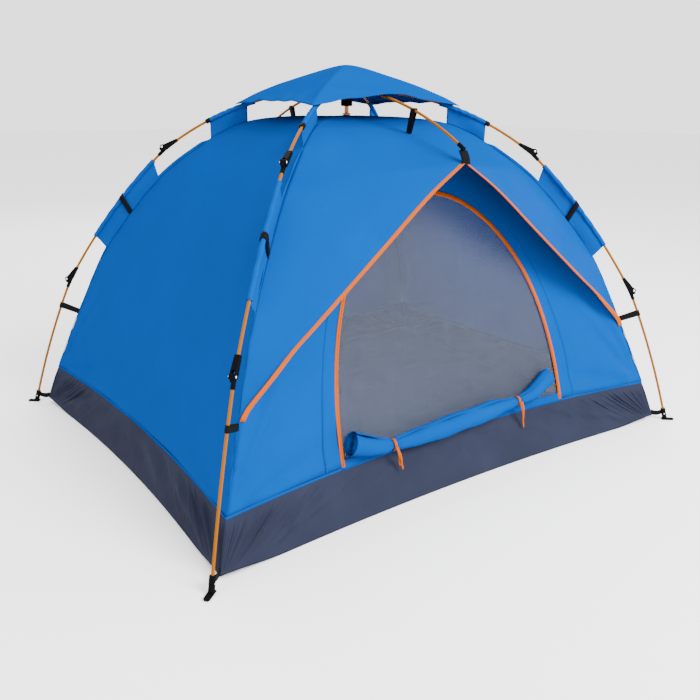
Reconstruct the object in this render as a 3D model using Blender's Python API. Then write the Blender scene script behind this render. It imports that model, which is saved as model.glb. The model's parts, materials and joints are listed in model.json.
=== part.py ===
"""Automatic pop up tent, pitched: an umbrella hub, four jointed external legs, two eave
poles, a tub floor, four canopy panels, a mesh door and a vent cap.

Units are metres and +Z is up. The origin is on the ground under the hub. The door faces -Y
and the long side of the floor runs along X. Every leg lies in an upright plane through the
hub's axis, so a leg is drawn in its own frame: X outwards, Z up. Its pieces are parented to
empties that stand on the joint axes.
"""
import math

import bmesh
import bpy
from mathutils import Matrix, Vector

# ---------------------------------------------------------------- driving dimensions
LEG_AZIMUTH = 39.1          # degrees from +X to the front right and back legs
POLE_R = 0.00475            # 9.5 mm glass fibre rod
BORE_R = 0.00510            # bore of every socket that holds a rod
HUB_PIVOT = (0.045, 1.297)  # arm pivot: distance from the axis, height

# One leg from the hub outwards. Angles are degrees above the horizontal.
ARM_ANGLE = -3.3            # direction of the pole where it leaves the hub
UPPER_LENGTH, UPPER_TURN = 0.5915, -30.6
UPPER_BEND = -9.9           # bend at the upper elbow
MID_LENGTH, MID_TURN = 0.5870, -13.6
LOWER_BEND = -7.8           # bend at the lower elbow
LOWER_LENGTH, LOWER_TURN = 0.4985, -7.8

# Hub sockets and elbows
ARM_SLEEVE = 0.058          # from the arm's pivot to the mouth of its socket
ELBOW_OFFSET = 0.012        # elbow pivots stand this far outside the rod's centre line
SOCKET_REACH = 0.064        # from the mouth of the hub side socket to the pivot
TAB_REACH = 0.034           # from the pivot to the mouth of the foot side sleeve
SLEEVE_R = 0.0068
TONGUE_HALF = 0.0050        # half thickness of a tongue, and of the slot it works in
SLOT_HALF = 0.0054
ELBOW_HALF = 0.0095         # half thickness of the elbow's cheeks
PIN_R = 0.0028
PIN_HOLE_R = 0.0032
PIN_HALF = 0.0108           # half length of a pin, so that its ends stand proud of the cheeks
TONGUE_R = 0.0085           # round end of a tongue about its pin
CHEEK_R = 0.0090            # round end of a cheek about its pin
ROD_STOP = 0.0225           # a rod ends this far from the pivot of the elbow ahead of it

# Hub
CROWN_R = 0.055
CROWN_BELOW, CROWN_ABOVE = 0.013, 0.012   # the crown's faces, from the height of the arm pivots
POST_R = 0.008
COLLAR_R = 0.022
COLLAR_FLANGE_R = 0.034
COLLAR_LOW, COLLAR_HIGH = -0.046, -0.0045  # the collar's ends, from the crown's underside
STEM_FLANGE_R = 0.016
CAP_POST_HEAD_R = 0.030
ROOF_TOP = 1.204
FACE_GAP = 0.0003           # gap between solids that meet face to face

# Foot
FOOT_SOCKET = 0.030
FOOT_R = 0.0095
TOE_LENGTH = 0.050
TOE_HALF = 0.0095
TOE_THICK = 0.005

# Eave pole, drawn in the door's middle plane: distance from the axis, height
EAVE_ANGLE = -5.5
EAVE_LENGTH, EAVE_TURN = 0.5450, -24.0
EAVE_TIP = 0.030
EAVE_HOOK = 0.020           # drop of the hook under the tip

# Canopy. The corner seam runs from the roof's middle to the top of the tub.
CLOTH = 0.0015
SEAM_GAP = 0.003
CORNER_PROFILE = [(0.030, 1.204), (0.200, 1.201), (0.350, 1.186), (0.450, 1.154), (0.550, 1.098),
                  (0.742, 0.955), (0.966, 0.691), (1.102, 0.440), (1.231, 0.163)]
TUB_TOP = 0.159
TUB_CORNER_TOP = (0.955, 0.775)
TUB_CORNER = (1.000, 0.815)
TUB_BOW_SIDE = 0.045        # how far the tension draws the middle of a side in
TUB_BOW_FRONT = 0.050
FRONT_BOW_TOP = 0.087
SIDE_BOW = 0.045
RIDGE = [(0.030, 1.204), (0.360, 1.154), (0.655, 1.070)]   # distance from the axis, height
AWNING_FOOT = (0.852, 0.717, 0.392)
AWNING_ARCH = 0.035         # how far the awning's free edge bows up from a straight line
DOOR_HALF_WIDTH = 0.51
DOOR_SILL = 0.170
DOOR_HEIGHT = 0.785
WALL_LEAN = 0.298           # inward lean of the front wall per metre of height
WALL_FOOT = 0.690
WALL_INSET = 0.026
WALL_SHOULDER = 1.085       # height where the front wall leaves the corner seam
WALL_CROWN = 0.030          # rise of the wall's top edge at its middle
WALL_TURN = 62              # share of the arch, in degrees, that runs up the corner seam
WALL_BOTTOM = 0.165
ARCH_POWER = 0.91           # below 1 makes the door's shoulders squarer than an ellipse
SCREEN_INSET = 0.005        # the mesh hangs this far inside the wall

# Rolled door, along X at the sill
ROLL_PATH = [(-0.475, 0.236), (-0.330, 0.204), (-0.100, 0.206), (0.120, 0.214), (0.290, 0.222),
             (0.475, 0.240)]
ROLL_R = 0.028
ROLL_STAND_OFF = 0.036      # from the wall to the roll's centre line

# Vent cap
CAP_TOP = 1.384
CAP_DROP = 0.142
CAP_ROUND = 0.12            # how far the round top reaches, as a share of the half width
CAP_HALF = (0.330, 0.268)
CAP_FRONT_LIFT = 0.043
CAP_SIDE_LIFT = 0.014


# ---------------------------------------------------------------- scene and materials
def clear_scene():
    """Remove every object that the start-up file holds."""
    for item in list(bpy.data.objects):
        bpy.data.objects.remove(item, do_unlink=True)


def material(name, colour, roughness, metallic=0.0):
    """A Principled material."""
    made = bpy.data.materials.new(name)
    made.use_nodes = True
    shader = made.node_tree.nodes["Principled BSDF"]
    shader.inputs["Base Color"].default_value = (*colour, 1.0)
    shader.inputs["Roughness"].default_value = roughness
    shader.inputs["Metallic"].default_value = metallic
    return made


clear_scene()
ROD = material("orange_rod", (0.85, 0.34, 0.03), 0.35)
PLASTIC = material("black_plastic", (0.012, 0.013, 0.015), 0.45)
STEM = material("copper_stem", (0.42, 0.17, 0.08), 0.35, 0.9)
BLUE = material("blue_cloth", (0.0, 0.19, 0.68), 0.6)
GREY = material("grey_groundsheet", (0.075, 0.08, 0.12), 0.55)
MESH = material("grey_mesh", (0.22, 0.24, 0.31), 0.8)


# ---------------------------------------------------------------- small tools
def empty(name, location=(0, 0, 0), parent=None, turn=0.0):
    """A guide that stands on an axis. turn is a rotation about Z in radians."""
    made = bpy.data.objects.new(name, None)
    bpy.context.scene.collection.objects.link(made)
    made.empty_display_size = 0.03
    made.location = location
    made.rotation_euler = (0, 0, turn)
    made.parent = parent
    return made


def add_object(name, data, slot, parent=None):
    """Put a mesh or a curve in the scene under its node's name."""
    made = bpy.data.objects.new(name, data)
    bpy.context.scene.collection.objects.link(made)
    if not data.materials:
        data.materials.append(slot)
    made.parent = parent
    return made


def finish_mesh(name, bm, sharp=35.0):
    """Turn a bmesh into a mesh that is shaded smooth up to its sharp edges."""
    bmesh.ops.recalc_face_normals(bm, faces=bm.faces)
    mesh = bpy.data.meshes.new(name)
    bm.to_mesh(mesh)
    bm.free()
    mesh.shade_smooth()
    mesh.set_sharp_from_angle(angle=math.radians(sharp))
    return mesh


def prism(outline, half, bevel=0.0):
    """A plate with an outline in X and Z, from -half to +half along Y."""
    bm = bmesh.new()
    ring = [bm.verts.new((x, -half, z)) for x, z in outline]
    face = bm.faces.new(ring)
    raised = bmesh.ops.extrude_face_region(bm, geom=[face])["geom"]
    moved = [item for item in raised if isinstance(item, bmesh.types.BMVert)]
    bmesh.ops.translate(bm, verts=moved, vec=(0, 2 * half, 0))
    bmesh.ops.recalc_face_normals(bm, faces=bm.faces)
    if bevel:
        rims = [e for e in bm.edges if abs(e.verts[0].co.y - e.verts[1].co.y) < half]
        bmesh.ops.bevel(bm, geom=rims, offset=bevel, offset_type="OFFSET", affect="EDGES",
                        segments=1, profile=0.5, material=-1)
    return finish_mesh("prism", bm)


def rod(start, end, radius, sides=16):
    """A round bar between two points."""
    start, end = Vector(start), Vector(end)
    bm = bmesh.new()
    bmesh.ops.create_cone(bm, cap_ends=True, segments=sides, radius1=radius, radius2=radius,
                          depth=(end - start).length)
    turn = (end - start).to_track_quat("Z", "Y").to_matrix().to_4x4()
    bm.transform(Matrix.Translation((start + end) / 2) @ turn)
    return finish_mesh("rod", bm)


def box(low, high):
    """A block between two corners."""
    bm = bmesh.new()
    bmesh.ops.create_cube(bm, size=1.0)
    size = [b - a for a, b in zip(low, high)]
    middle = [(a + b) / 2 for a, b in zip(low, high)]
    bm.transform(Matrix.Translation(middle) @ Matrix.Diagonal((*size, 1.0)))
    return finish_mesh("box", bm)


def turned(profile, sides=32):
    """A turned piece from a profile of (radius, height) that starts and ends on the axis."""
    bm = bmesh.new()
    points = [bm.verts.new((r, 0, z)) for r, z in profile]
    edges = [bm.edges.new(pair) for pair in zip(points, points[1:])]
    bmesh.ops.spin(bm, geom=points + edges, cent=(0, 0, 0), axis=(0, 0, 1), angle=2 * math.pi,
                   steps=sides, use_merge=True)
    bmesh.ops.remove_doubles(bm, verts=bm.verts, dist=1e-6)
    return finish_mesh("turned", bm)


def combine(base, other, operation):
    """The union or difference of two closed meshes, as a new mesh."""
    first = bpy.data.objects.new("boolean_base", base)
    second = bpy.data.objects.new("boolean_tool", other)
    for item in (first, second):
        bpy.context.scene.collection.objects.link(item)
    step = first.modifiers.new("step", "BOOLEAN")
    step.operation = operation
    step.object = second
    step.solver = "EXACT"
    graph = bpy.context.evaluated_depsgraph_get()
    made = bpy.data.meshes.new_from_object(first.evaluated_get(graph))
    for item in (first, second):
        bpy.data.objects.remove(item, do_unlink=True)
    made.materials.clear()
    made.shade_smooth()
    made.set_sharp_from_angle(angle=math.radians(35))
    return made


def direction(angle):
    """The unit vector in X and Z at an angle in degrees above +X, and the normal outside it."""
    a = math.radians(angle)
    return Vector((math.cos(a), 0, math.sin(a))), Vector((-math.sin(a), 0, math.cos(a)))


def circle_arc(radius, first, last, steps):
    """Points on an arc about the origin, in X and Z."""
    angles = [math.radians(first + (last - first) * k / steps) for k in range(steps + 1)]
    return [(radius * math.cos(a), radius * math.sin(a)) for a in angles]


def bent_path(start, angle, length, turn, run_in, run_out, steps=9):
    """A rod's centre line: a straight run in its socket, an even bend, a straight run."""
    along, _ = direction(angle)
    points = [start - along * run_in, start - along * run_in / 2]
    here = start.copy()
    points.append(here.copy())
    for k in range(steps):
        along, _ = direction(angle + turn * (k + 0.5) / steps)
        here = here + along * length / steps
        points.append(here.copy())
    along, _ = direction(angle + turn)
    points += [here + along * run_out / 2, here + along * run_out]
    return here, points


def rod_curve(name, points, origin):
    """A round rod along points, as a curve with a bevel and filled ends."""
    curve = bpy.data.curves.new(name, "CURVE")
    curve.dimensions = "3D"
    curve.bevel_depth = POLE_R
    curve.bevel_resolution = 3
    curve.use_fill_caps = True
    line = curve.splines.new("POLY")
    line.points.add(len(points) - 1)
    for point, place in zip(line.points, points):
        point.co = (*(place - origin), 1.0)
    line.use_smooth = True
    return curve


def catmull(points, samples):
    """Even samples along a smooth curve through points of any dimension."""
    pts = [Vector(p) for p in points]
    pts = [2 * pts[0] - pts[1]] + pts + [2 * pts[-1] - pts[-2]]
    dense = []
    for a, b, c, d in zip(pts, pts[1:], pts[2:], pts[3:]):
        for k in range(16):
            t = k / 16
            dense.append(0.5 * (2 * b + (c - a) * t + (2 * a - 5 * b + 4 * c - d) * t * t
                                + (3 * b - a - 3 * c + d) * t ** 3))
    dense.append(pts[-2])
    return resample(dense, samples)


def resample(dense, samples):
    """Points at even distances along a polyline."""
    reach = [0.0]
    for a, b in zip(dense, dense[1:]):
        reach.append(reach[-1] + (b - a).length)
    out = []
    k = 0
    for i in range(samples):
        want = reach[-1] * i / (samples - 1)
        while k < len(dense) - 2 and reach[k + 1] < want:
            k += 1
        part = (want - reach[k]) / (reach[k + 1] - reach[k])
        out.append(dense[k].lerp(dense[k + 1], min(part, 1.0)))
    return out


def sheet(name, rows, slot, parent, closed=False):
    """A cloth panel from a grid of points, thickened evenly to both sides."""
    bm = bmesh.new()
    grid = [[bm.verts.new(p) for p in row] for row in rows]
    for low, high in zip(grid, grid[1:]):
        columns = list(zip(low, low[1:], high[1:], high))
        if closed:
            columns.append((low[-1], low[0], high[0], high[-1]))
        for corners in columns:
            bm.faces.new(corners)
    bmesh.ops.remove_doubles(bm, verts=bm.verts, dist=1e-5)
    return thicken(add_object(name, finish_mesh(name, bm, 60), slot, parent))


def thicken(item):
    """Give a sheet its cloth thickness."""
    step = item.modifiers.new("cloth", "SOLIDIFY")
    step.thickness = CLOTH
    step.offset = 0.0
    step.use_even_offset = True
    return item


# ---------------------------------------------------------------- hub
def hub_slots():
    """Azimuths in radians of the four leg arms and the two eave arms."""
    legs = [LEG_AZIMUTH, 180 - LEG_AZIMUTH, 180 + LEG_AZIMUTH, 360 - LEG_AZIMUTH]
    return [math.radians(a) for a in legs + [90, 270]]


def make_hub():
    """Crown with six slots and pins, stem, sliding collar and the post under the cap."""
    axis = empty("hub_axis")
    reach, height = HUB_PIVOT
    bottom, top = height - CROWN_BELOW, height + CROWN_ABOVE
    mesh = turned([(0, bottom), (CROWN_R - 0.003, bottom), (CROWN_R, bottom + 0.003), (CROWN_R, top),
                   (0.050, top + 0.004), (0.030, top + 0.008), (0, top + 0.010)])
    for angle in hub_slots():
        turn = Matrix.Rotation(angle, 4, "Z")
        slot = box((0.026, -SLOT_HALF, bottom - 0.01), (0.080, SLOT_HALF, top - 0.0005))
        slot.transform(turn)
        mesh = combine(mesh, slot, "DIFFERENCE")
        pin = rod((reach, -PIN_HALF, height), (reach, PIN_HALF, height), PIN_R, 12)
        pin.transform(turn)
        mesh = combine(mesh, pin, "UNION")
    add_object("hub_crown", mesh, PLASTIC, axis)

    stem_low, stem_top = ROOF_TOP + 0.003, bottom - FACE_GAP
    stem = turned([(0, stem_low), (STEM_FLANGE_R, stem_low), (STEM_FLANGE_R, stem_low + 0.005),
                   (POST_R, stem_low + 0.007), (POST_R, stem_top), (0, stem_top)], 24)
    add_object("hub_stem", stem, STEM, axis)

    collar_axis = empty("collar_slide", (0, 0, bottom), axis)
    ring = turned([(0, COLLAR_LOW), (COLLAR_R - 0.003, COLLAR_LOW), (COLLAR_R, COLLAR_LOW + 0.004),
                   (COLLAR_R, COLLAR_HIGH - 0.0075), (COLLAR_FLANGE_R, COLLAR_HIGH - 0.0045),
                   (COLLAR_FLANGE_R, COLLAR_HIGH), (0, COLLAR_HIGH)], 24)
    bore = rod((0, 0, -0.060), (0, 0, 0.010), POST_R + 0.0004, 24)
    add_object("hub_collar", combine(ring, bore, "DIFFERENCE"), PLASTIC, collar_axis)

    base = top + 0.010 + FACE_GAP
    dome = [(CAP_POST_HEAD_R * math.cos(a), CAP_TOP - 0.022 + 0.018 * math.sin(a))
            for a in (0, math.pi / 6, math.pi / 3)]
    post = turned([(0, base), (0.020, base), (0.013, base + 0.008), (0.011, CAP_TOP - 0.030),
                   (CAP_POST_HEAD_R, CAP_TOP - 0.024)] + dome + [(0, CAP_TOP - 0.004)], 24)
    add_object("cap_post", post, PLASTIC, axis)
    return axis


def arm_socket_mesh():
    """Socket of an arm about its pivot: tongue with a heel, and the sleeve for the rod."""
    heel = [(-0.016, -0.0055), (-0.015, -0.0125), (-0.006, -0.0125), (0.00375, -0.0065)]
    outline = heel + [(0.016, -SLEEVE_R), (0.016, SLEEVE_R)]
    outline += circle_arc(0.0075, 70, 160, 4)
    tongue = prism(outline, TONGUE_HALF)
    sleeve = rod((0.0145, 0, 0), (ARM_SLEEVE, 0, 0), SLEEVE_R)
    mesh = combine(tongue, sleeve, "UNION")
    mesh = combine(mesh, rod((0.024, 0, 0), (0.080, 0, 0), BORE_R), "DIFFERENCE")
    return combine(mesh, rod((0, -0.02, 0), (0, 0.02, 0), PIN_HOLE_R), "DIFFERENCE")


# ---------------------------------------------------------------- elbows and feet
def elbow_socket_mesh():
    """Hub side half of an elbow about its pivot: a wedge with two cheeks and the pin."""
    low, line = -ELBOW_OFFSET - 0.0065, -ELBOW_OFFSET
    outline = [(-SOCKET_REACH, low + 0.001), (-0.004, low), (0.003, low + 0.002), (0.006, -0.011)]
    outline += circle_arc(CHEEK_R, -30, 150, 8)
    outline += [(-0.013, 0.0035), (-SOCKET_REACH, line + 0.0060)]
    mesh = prism(outline, ELBOW_HALF, 0.0012)
    slot = box((-0.018, -SLOT_HALF, -0.04), (0.04, SLOT_HALF, 0.04))
    mesh = combine(mesh, slot, "DIFFERENCE")
    bore = rod((-0.080, 0, line), (0.0005 - ROD_STOP, 0, line), BORE_R)
    mesh = combine(mesh, bore, "DIFFERENCE")
    return combine(mesh, rod((0, -PIN_HALF, 0), (0, PIN_HALF, 0), PIN_R, 12), "UNION")


def elbow_tab_mesh():
    """Foot side half of an elbow about its pivot: a tongue on the pin and a short sleeve."""
    line = -ELBOW_OFFSET
    outline = circle_arc(TONGUE_R, 30, 190, 7)
    outline += [(-0.0045, line - SLEEVE_R), (0.0155, line - SLEEVE_R), (0.0155, 0.0035)]
    tongue = prism(outline, TONGUE_HALF)
    sleeve = rod((0.014, 0, line), (TAB_REACH, 0, line), SLEEVE_R)
    mesh = combine(tongue, sleeve, "UNION")
    mesh = combine(mesh, rod((0.0175, 0, line), (0.05, 0, line), BORE_R), "DIFFERENCE")
    return combine(mesh, rod((0, -0.02, 0), (0, 0.02, 0), PIN_HOLE_R), "DIFFERENCE")


def foot_mesh(mouth, angle):
    """Foot in the leg's frame: a socket on the rod's end and a flat toe that points outwards."""
    along, _ = direction(angle)
    end = mouth + along * (FOOT_SOCKET + 0.0145)
    heel = end.x - 0.012
    plan = [(heel, -TOE_HALF), (end.x + TOE_LENGTH - 0.034, -TOE_HALF)]
    round_end = [(end.x + TOE_LENGTH - 0.021 + 0.0085 * math.cos(a), TOE_HALF * math.sin(a))
                 for a in [math.radians(k) for k in (-75, -40, 0, 40, 75)]]
    plan += round_end + [(end.x + TOE_LENGTH - 0.034, TOE_HALF), (heel, TOE_HALF)]
    bm = bmesh.new()
    face = bm.faces.new([bm.verts.new((x, y, 0)) for x, y in plan])
    raised = bmesh.ops.extrude_face_region(bm, geom=[face])["geom"]
    moved = [item for item in raised if isinstance(item, bmesh.types.BMVert)]
    bmesh.ops.translate(bm, verts=moved, vec=(0, 0, TOE_THICK))
    toe = finish_mesh("toe", bm)
    socket = rod(mouth, end, FOOT_R)
    mesh = combine(toe, socket, "UNION")
    bore = rod(mouth - along * 0.02, mouth + along * (FOOT_SOCKET - 0.004), BORE_R)
    return combine(mesh, bore, "DIFFERENCE")


def tilt(angle):
    """Rotation that lays a piece drawn along +X on a direction above the horizontal."""
    return Matrix.Rotation(-math.radians(angle), 4, "Y")


def leg_layout():
    """Joint centres, directions and centre lines of one leg, in the leg's own frame."""
    lay = {}
    hub = Vector((HUB_PIVOT[0], 0, HUB_PIVOT[1]))
    along, _ = direction(ARM_ANGLE)
    here, lay["upper_line"] = bent_path(hub + along * ARM_SLEEVE, ARM_ANGLE, UPPER_LENGTH,
                                        UPPER_TURN, ARM_SLEEVE - 0.025, SOCKET_REACH - ROD_STOP)
    angle = ARM_ANGLE + UPPER_TURN
    lay["hub"] = hub
    for name, bend, length, turn in (("upper", UPPER_BEND, MID_LENGTH, MID_TURN),
                                     ("lower", LOWER_BEND, LOWER_LENGTH, LOWER_TURN)):
        along, outside = direction(angle)
        pivot = here + along * SOCKET_REACH + outside * ELBOW_OFFSET
        lay[name + "_pivot"], lay[name + "_socket_angle"] = pivot, angle
        angle += bend
        lay[name + "_tab_angle"] = angle
        along, outside = direction(angle)
        mouth = pivot + along * TAB_REACH - outside * ELBOW_OFFSET
        last = name == "lower"
        run_out = FOOT_SOCKET - 0.0045 if last else SOCKET_REACH - ROD_STOP
        here, line = bent_path(mouth, angle, length, turn, TAB_REACH - 0.018, run_out)
        lay["lower_line" if last else "mid_line"] = line
        angle += turn
    lay["foot_mouth"], lay["foot_angle"] = here, angle
    return lay


def make_legs():
    """Four legs, each a chain of empties on the joint axes that carry its pieces."""
    lay = leg_layout()
    origins = {"upper": lay["hub"], "mid": lay["upper_pivot"], "lower": lay["lower_pivot"]}
    arm = arm_socket_mesh()
    arm.transform(tilt(ARM_ANGLE))
    halves = {}
    for name in ("upper", "lower"):
        socket, tab = elbow_socket_mesh(), elbow_tab_mesh()
        socket.transform(tilt(lay[name + "_socket_angle"]))
        tab.transform(tilt(lay[name + "_tab_angle"]))
        hub_side = origins["upper" if name == "upper" else "mid"]
        socket.transform(Matrix.Translation(lay[name + "_pivot"] - hub_side))
        halves[name] = (socket, tab)
    foot = foot_mesh(lay["foot_mouth"], lay["foot_angle"])
    foot.transform(Matrix.Translation(-origins["lower"]))
    lines = {part: rod_curve(part + "_pole", lay[part + "_line"], origins[part])
             for part in ("upper", "mid", "lower")}

    azimuths = {"fr": -LEG_AZIMUTH, "br": LEG_AZIMUTH, "bl": 180 - LEG_AZIMUTH, "fl": 180 + LEG_AZIMUTH}
    for corner, azimuth in azimuths.items():
        plane = empty("leg_plane_" + corner, turn=math.radians(azimuth))
        hub_axis = empty("arm_axis_" + corner, origins["upper"], plane)
        upper_axis = empty("upper_elbow_axis_" + corner, origins["mid"] - origins["upper"], hub_axis)
        lower_axis = empty("lower_elbow_axis_" + corner, origins["lower"] - origins["mid"], upper_axis)
        add_object("arm_socket_" + corner, arm, PLASTIC, hub_axis)
        add_object("upper_pole_" + corner, lines["upper"], ROD, hub_axis)
        add_object("upper_elbow_socket_" + corner, halves["upper"][0], PLASTIC, hub_axis)
        add_object("upper_elbow_tab_" + corner, halves["upper"][1], PLASTIC, upper_axis)
        add_object("mid_pole_" + corner, lines["mid"], ROD, upper_axis)
        add_object("lower_elbow_socket_" + corner, halves["lower"][0], PLASTIC, upper_axis)
        add_object("lower_elbow_tab_" + corner, halves["lower"][1], PLASTIC, lower_axis)
        add_object("lower_pole_" + corner, lines["lower"], ROD, lower_axis)
        add_object("foot_" + corner, foot, PLASTIC, lower_axis)


def make_eaves():
    """Front and back eave poles: arm socket in the crown, bent rod and end cap."""
    hub = Vector((HUB_PIVOT[0], 0, HUB_PIVOT[1]))
    along, _ = direction(EAVE_ANGLE)
    mouth = hub + along * ARM_SLEEVE
    end, line = bent_path(mouth, EAVE_ANGLE, EAVE_LENGTH, EAVE_TURN, ARM_SLEEVE - 0.025,
                          EAVE_TIP - 0.006)
    socket = arm_socket_mesh()
    socket.transform(tilt(EAVE_ANGLE))
    curve = rod_curve("eave_pole", line, hub)
    along, outside = direction(EAVE_ANGLE + EAVE_TURN)
    hook = rod(end + along * (EAVE_TIP - 0.008), end + along * (EAVE_TIP - 0.004) - outside * EAVE_HOOK,
               0.0052, 12)
    tip = combine(rod(end, end + along * EAVE_TIP, SLEEVE_R), hook, "UNION")
    bore = rod(end - along * 0.02, end + along * (EAVE_TIP - 0.0055), BORE_R)
    tip = combine(tip, bore, "DIFFERENCE")
    tip.transform(Matrix.Translation(-hub))
    for side, azimuth in (("front", -90), ("back", 90)):
        plane = empty("eave_plane_" + side, turn=math.radians(azimuth))
        axis = empty("eave_axis_" + side, hub, plane)
        add_object("eave_socket_" + side, socket, PLASTIC, axis)
        add_object("eave_pole_" + side, curve, ROD, axis)
        add_object("eave_tip_" + side, tip, PLASTIC, axis)


# ---------------------------------------------------------------- cloth
def corner_point(point):
    """A point of the corner profile as lengths along X and Y and a height."""
    azimuth = math.radians(LEG_AZIMUTH)
    return point[0] * math.cos(azimuth), point[0] * math.sin(azimuth), point[1]


def tub_ring(corner, bow_x, bow_y, height, steps=8):
    """A closed ring round the tub whose four sides are drawn in by the tension."""
    half_x, half_y = corner
    ring = []
    for k in range(4 * steps):
        side, part = divmod(k, steps)
        t = 2 * part / steps - 1
        draw = 1 - t * t
        if side == 0:
            ring.append((half_x * t, -half_y + bow_y * draw, height))
        elif side == 1:
            ring.append((half_x - bow_x * draw, half_y * t, height))
        elif side == 2:
            ring.append((-half_x * t, half_y - bow_y * draw, height))
        else:
            ring.append((-half_x + bow_x * draw, -half_y * t, height))
    return ring


def make_tub():
    """Flat groundsheet and the tub wall that stands on its edge."""
    inner = (TUB_CORNER[0] - SEAM_GAP, TUB_CORNER[1] - SEAM_GAP)
    plan = tub_ring(inner, TUB_BOW_SIDE, TUB_BOW_FRONT, 0.0)
    bm = bmesh.new()
    face = bm.faces.new([bm.verts.new(p) for p in plan])
    raised = bmesh.ops.extrude_face_region(bm, geom=[face])["geom"]
    moved = [item for item in raised if isinstance(item, bmesh.types.BMVert)]
    bmesh.ops.translate(bm, verts=moved, vec=(0, 0, CLOTH))
    add_object("ground_sheet", finish_mesh("ground_sheet", bm), GREY)
    rows = []
    for part in (0.0, 0.5, 1.0):
        corner = [a + (b - a) * part for a, b in zip(TUB_CORNER, TUB_CORNER_TOP)]
        front = TUB_BOW_FRONT + (FRONT_BOW_TOP - TUB_BOW_FRONT) * part
        height = 0.0035 + (TUB_TOP - 0.0035) * part
        rows.append(tub_ring(corner, TUB_BOW_SIDE, front, height))
    sheet("tub_wall", rows, GREY, None, closed=True)


def make_side(name, side):
    """Left or right panel: one gore from the tub's long edge over the shoulder to the hub."""
    rows = []
    for point in catmull(CORNER_PROFILE, 13):
        x, y, z = corner_point(point)
        draw = SIDE_BOW * (1 - (z / ROOF_TOP) ** 4)
        columns = [k / 4 - 1 for k in range(9)]
        rows.append([(side * (x - draw * (1 - v * v)), v * (y - SEAM_GAP), z) for v in columns])
    sheet(name, rows, BLUE, None)


def awning_edges():
    """Matching points along the corner seam and along the ridge and free edge, on the right."""
    seam = [Vector(corner_point(p)) for p in catmull(CORNER_PROFILE, 60)]
    seam = resample([p for p in seam if p.z > AWNING_FOOT[2] - 0.005], 15)
    ridge = [Vector((0, p[0], p[1])) for p in catmull(RIDGE, 7)]
    apex, foot = ridge[-1], Vector(AWNING_FOOT)
    free = []
    for k in range(1, 9):
        t = k / 8
        point = apex.lerp(foot, t)
        point.z += AWNING_ARCH * 4 * t * (1 - t)
        free.append(point)
    for point in seam:
        point.x -= SEAM_GAP
    return seam, ridge + free


def make_awning(name, side):
    """Front or back panel: roof from the hub to the eave, and a wing down to each corner."""
    seam, edge = awning_edges()
    bm = bmesh.new()
    for mirror in (1, -1):
        grid = []
        for a, b in zip(seam, edge):
            row = [a.lerp(b, t) for t in (0, 0.25, 0.5, 0.75, 1.0)]
            grid.append([bm.verts.new((mirror * p.x, side * p.y, p.z)) for p in row])
        for low, high in zip(grid, grid[1:]):
            for corners in zip(low, low[1:], high[1:], high):
                bm.faces.new(corners if mirror > 0 else corners[::-1])
    bmesh.ops.remove_doubles(bm, verts=bm.verts, dist=1e-5)
    thicken(add_object(name, finish_mesh(name, bm, 60), BLUE))


def seam_half_width(z):
    """Distance of the corner seams from the middle, along X and along Y, at a height."""
    line = [corner_point(p) for p in catmull(CORNER_PROFILE, 80)]
    for high, low in zip(line, line[1:]):
        if low[2] <= z <= high[2]:
            t = (z - low[2]) / (high[2] - low[2])
            return low[0] + t * (high[0] - low[0]), low[1] + t * (high[1] - low[1])
    return line[-1][0], line[-1][1]


def wall_depth(x, z):
    """Distance of the front wall from the middle plane at a place on it."""
    edge_x, edge_y = seam_half_width(z)
    middle = WALL_FOOT - WALL_LEAN * (z - CORNER_PROFILE[-1][1])
    return middle + (edge_y - middle) * min(1.0, (x / edge_x) ** 2)


def door_point(theta):
    """A point of the door's arch, as X and height. theta runs from 0 at the right sill."""
    rise = abs(math.sin(theta)) ** ARCH_POWER
    return DOOR_HALF_WIDTH * math.cos(theta), DOOR_SILL + DOOR_HEIGHT * rise


def wall_edge_point(theta):
    """The matching point on the wall's outer edge, as X and height."""
    turn = math.radians(WALL_TURN)
    if theta > math.pi / 2:
        x, z = wall_edge_point(math.pi - theta)
        return -x, z
    if theta <= turn:
        z = WALL_BOTTOM + (WALL_SHOULDER - WALL_BOTTOM) * theta / turn
        return seam_half_width(z)[0] - WALL_INSET, z
    shoulder = seam_half_width(WALL_SHOULDER)[0] - WALL_INSET
    x = shoulder * (math.pi / 2 - theta) / (math.pi / 2 - turn)
    return x, WALL_SHOULDER + WALL_CROWN * (1 - (x / shoulder) ** 2)


def make_front_wall():
    """Wall under the front awning, cut away inside the door's arch, and the mesh in the arch."""
    rows = []
    count = 26
    for part in (0.0, 0.4, 1.0):
        row = []
        for k in range(count + 1):
            theta = math.pi * k / count
            (x0, z0), (x1, z1) = door_point(theta), wall_edge_point(theta)
            x, z = x0 + (x1 - x0) * part, z0 + (z1 - z0) * part
            row.append((x, -wall_depth(x, z), z))
        rows.append(row)
    sheet("front_wall", rows, BLUE, None)

    rows = []
    for k in range(9):
        half, z = door_point(math.radians(2 + 80 * k / 8))
        row = [(half * (j / 4 - 1), z) for j in range(9)]
        rows.append([(x, SCREEN_INSET - wall_depth(x, z), z) for x, z in row])
    sheet("door_screen", rows, MESH, None)


def make_back_wall():
    """Closed wall under the back awning."""
    columns = [j / 5 - 1 for j in range(11)]
    rows = []
    for k in range(9):
        z = WALL_BOTTOM + (WALL_SHOULDER - WALL_BOTTOM) * k / 8
        half = seam_half_width(z)[0] - WALL_INSET
        rows.append([(half * v, wall_depth(half * v, z), z) for v in columns])
    half = seam_half_width(WALL_SHOULDER)[0] - WALL_INSET
    top = []
    for v in columns:
        z = WALL_SHOULDER + 0.004 + (WALL_CROWN - 0.004) * (1 - v * v)
        top.append((half * v, wall_depth(half * v, z), z))
    sheet("back_wall", rows + [top], BLUE, None)


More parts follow.
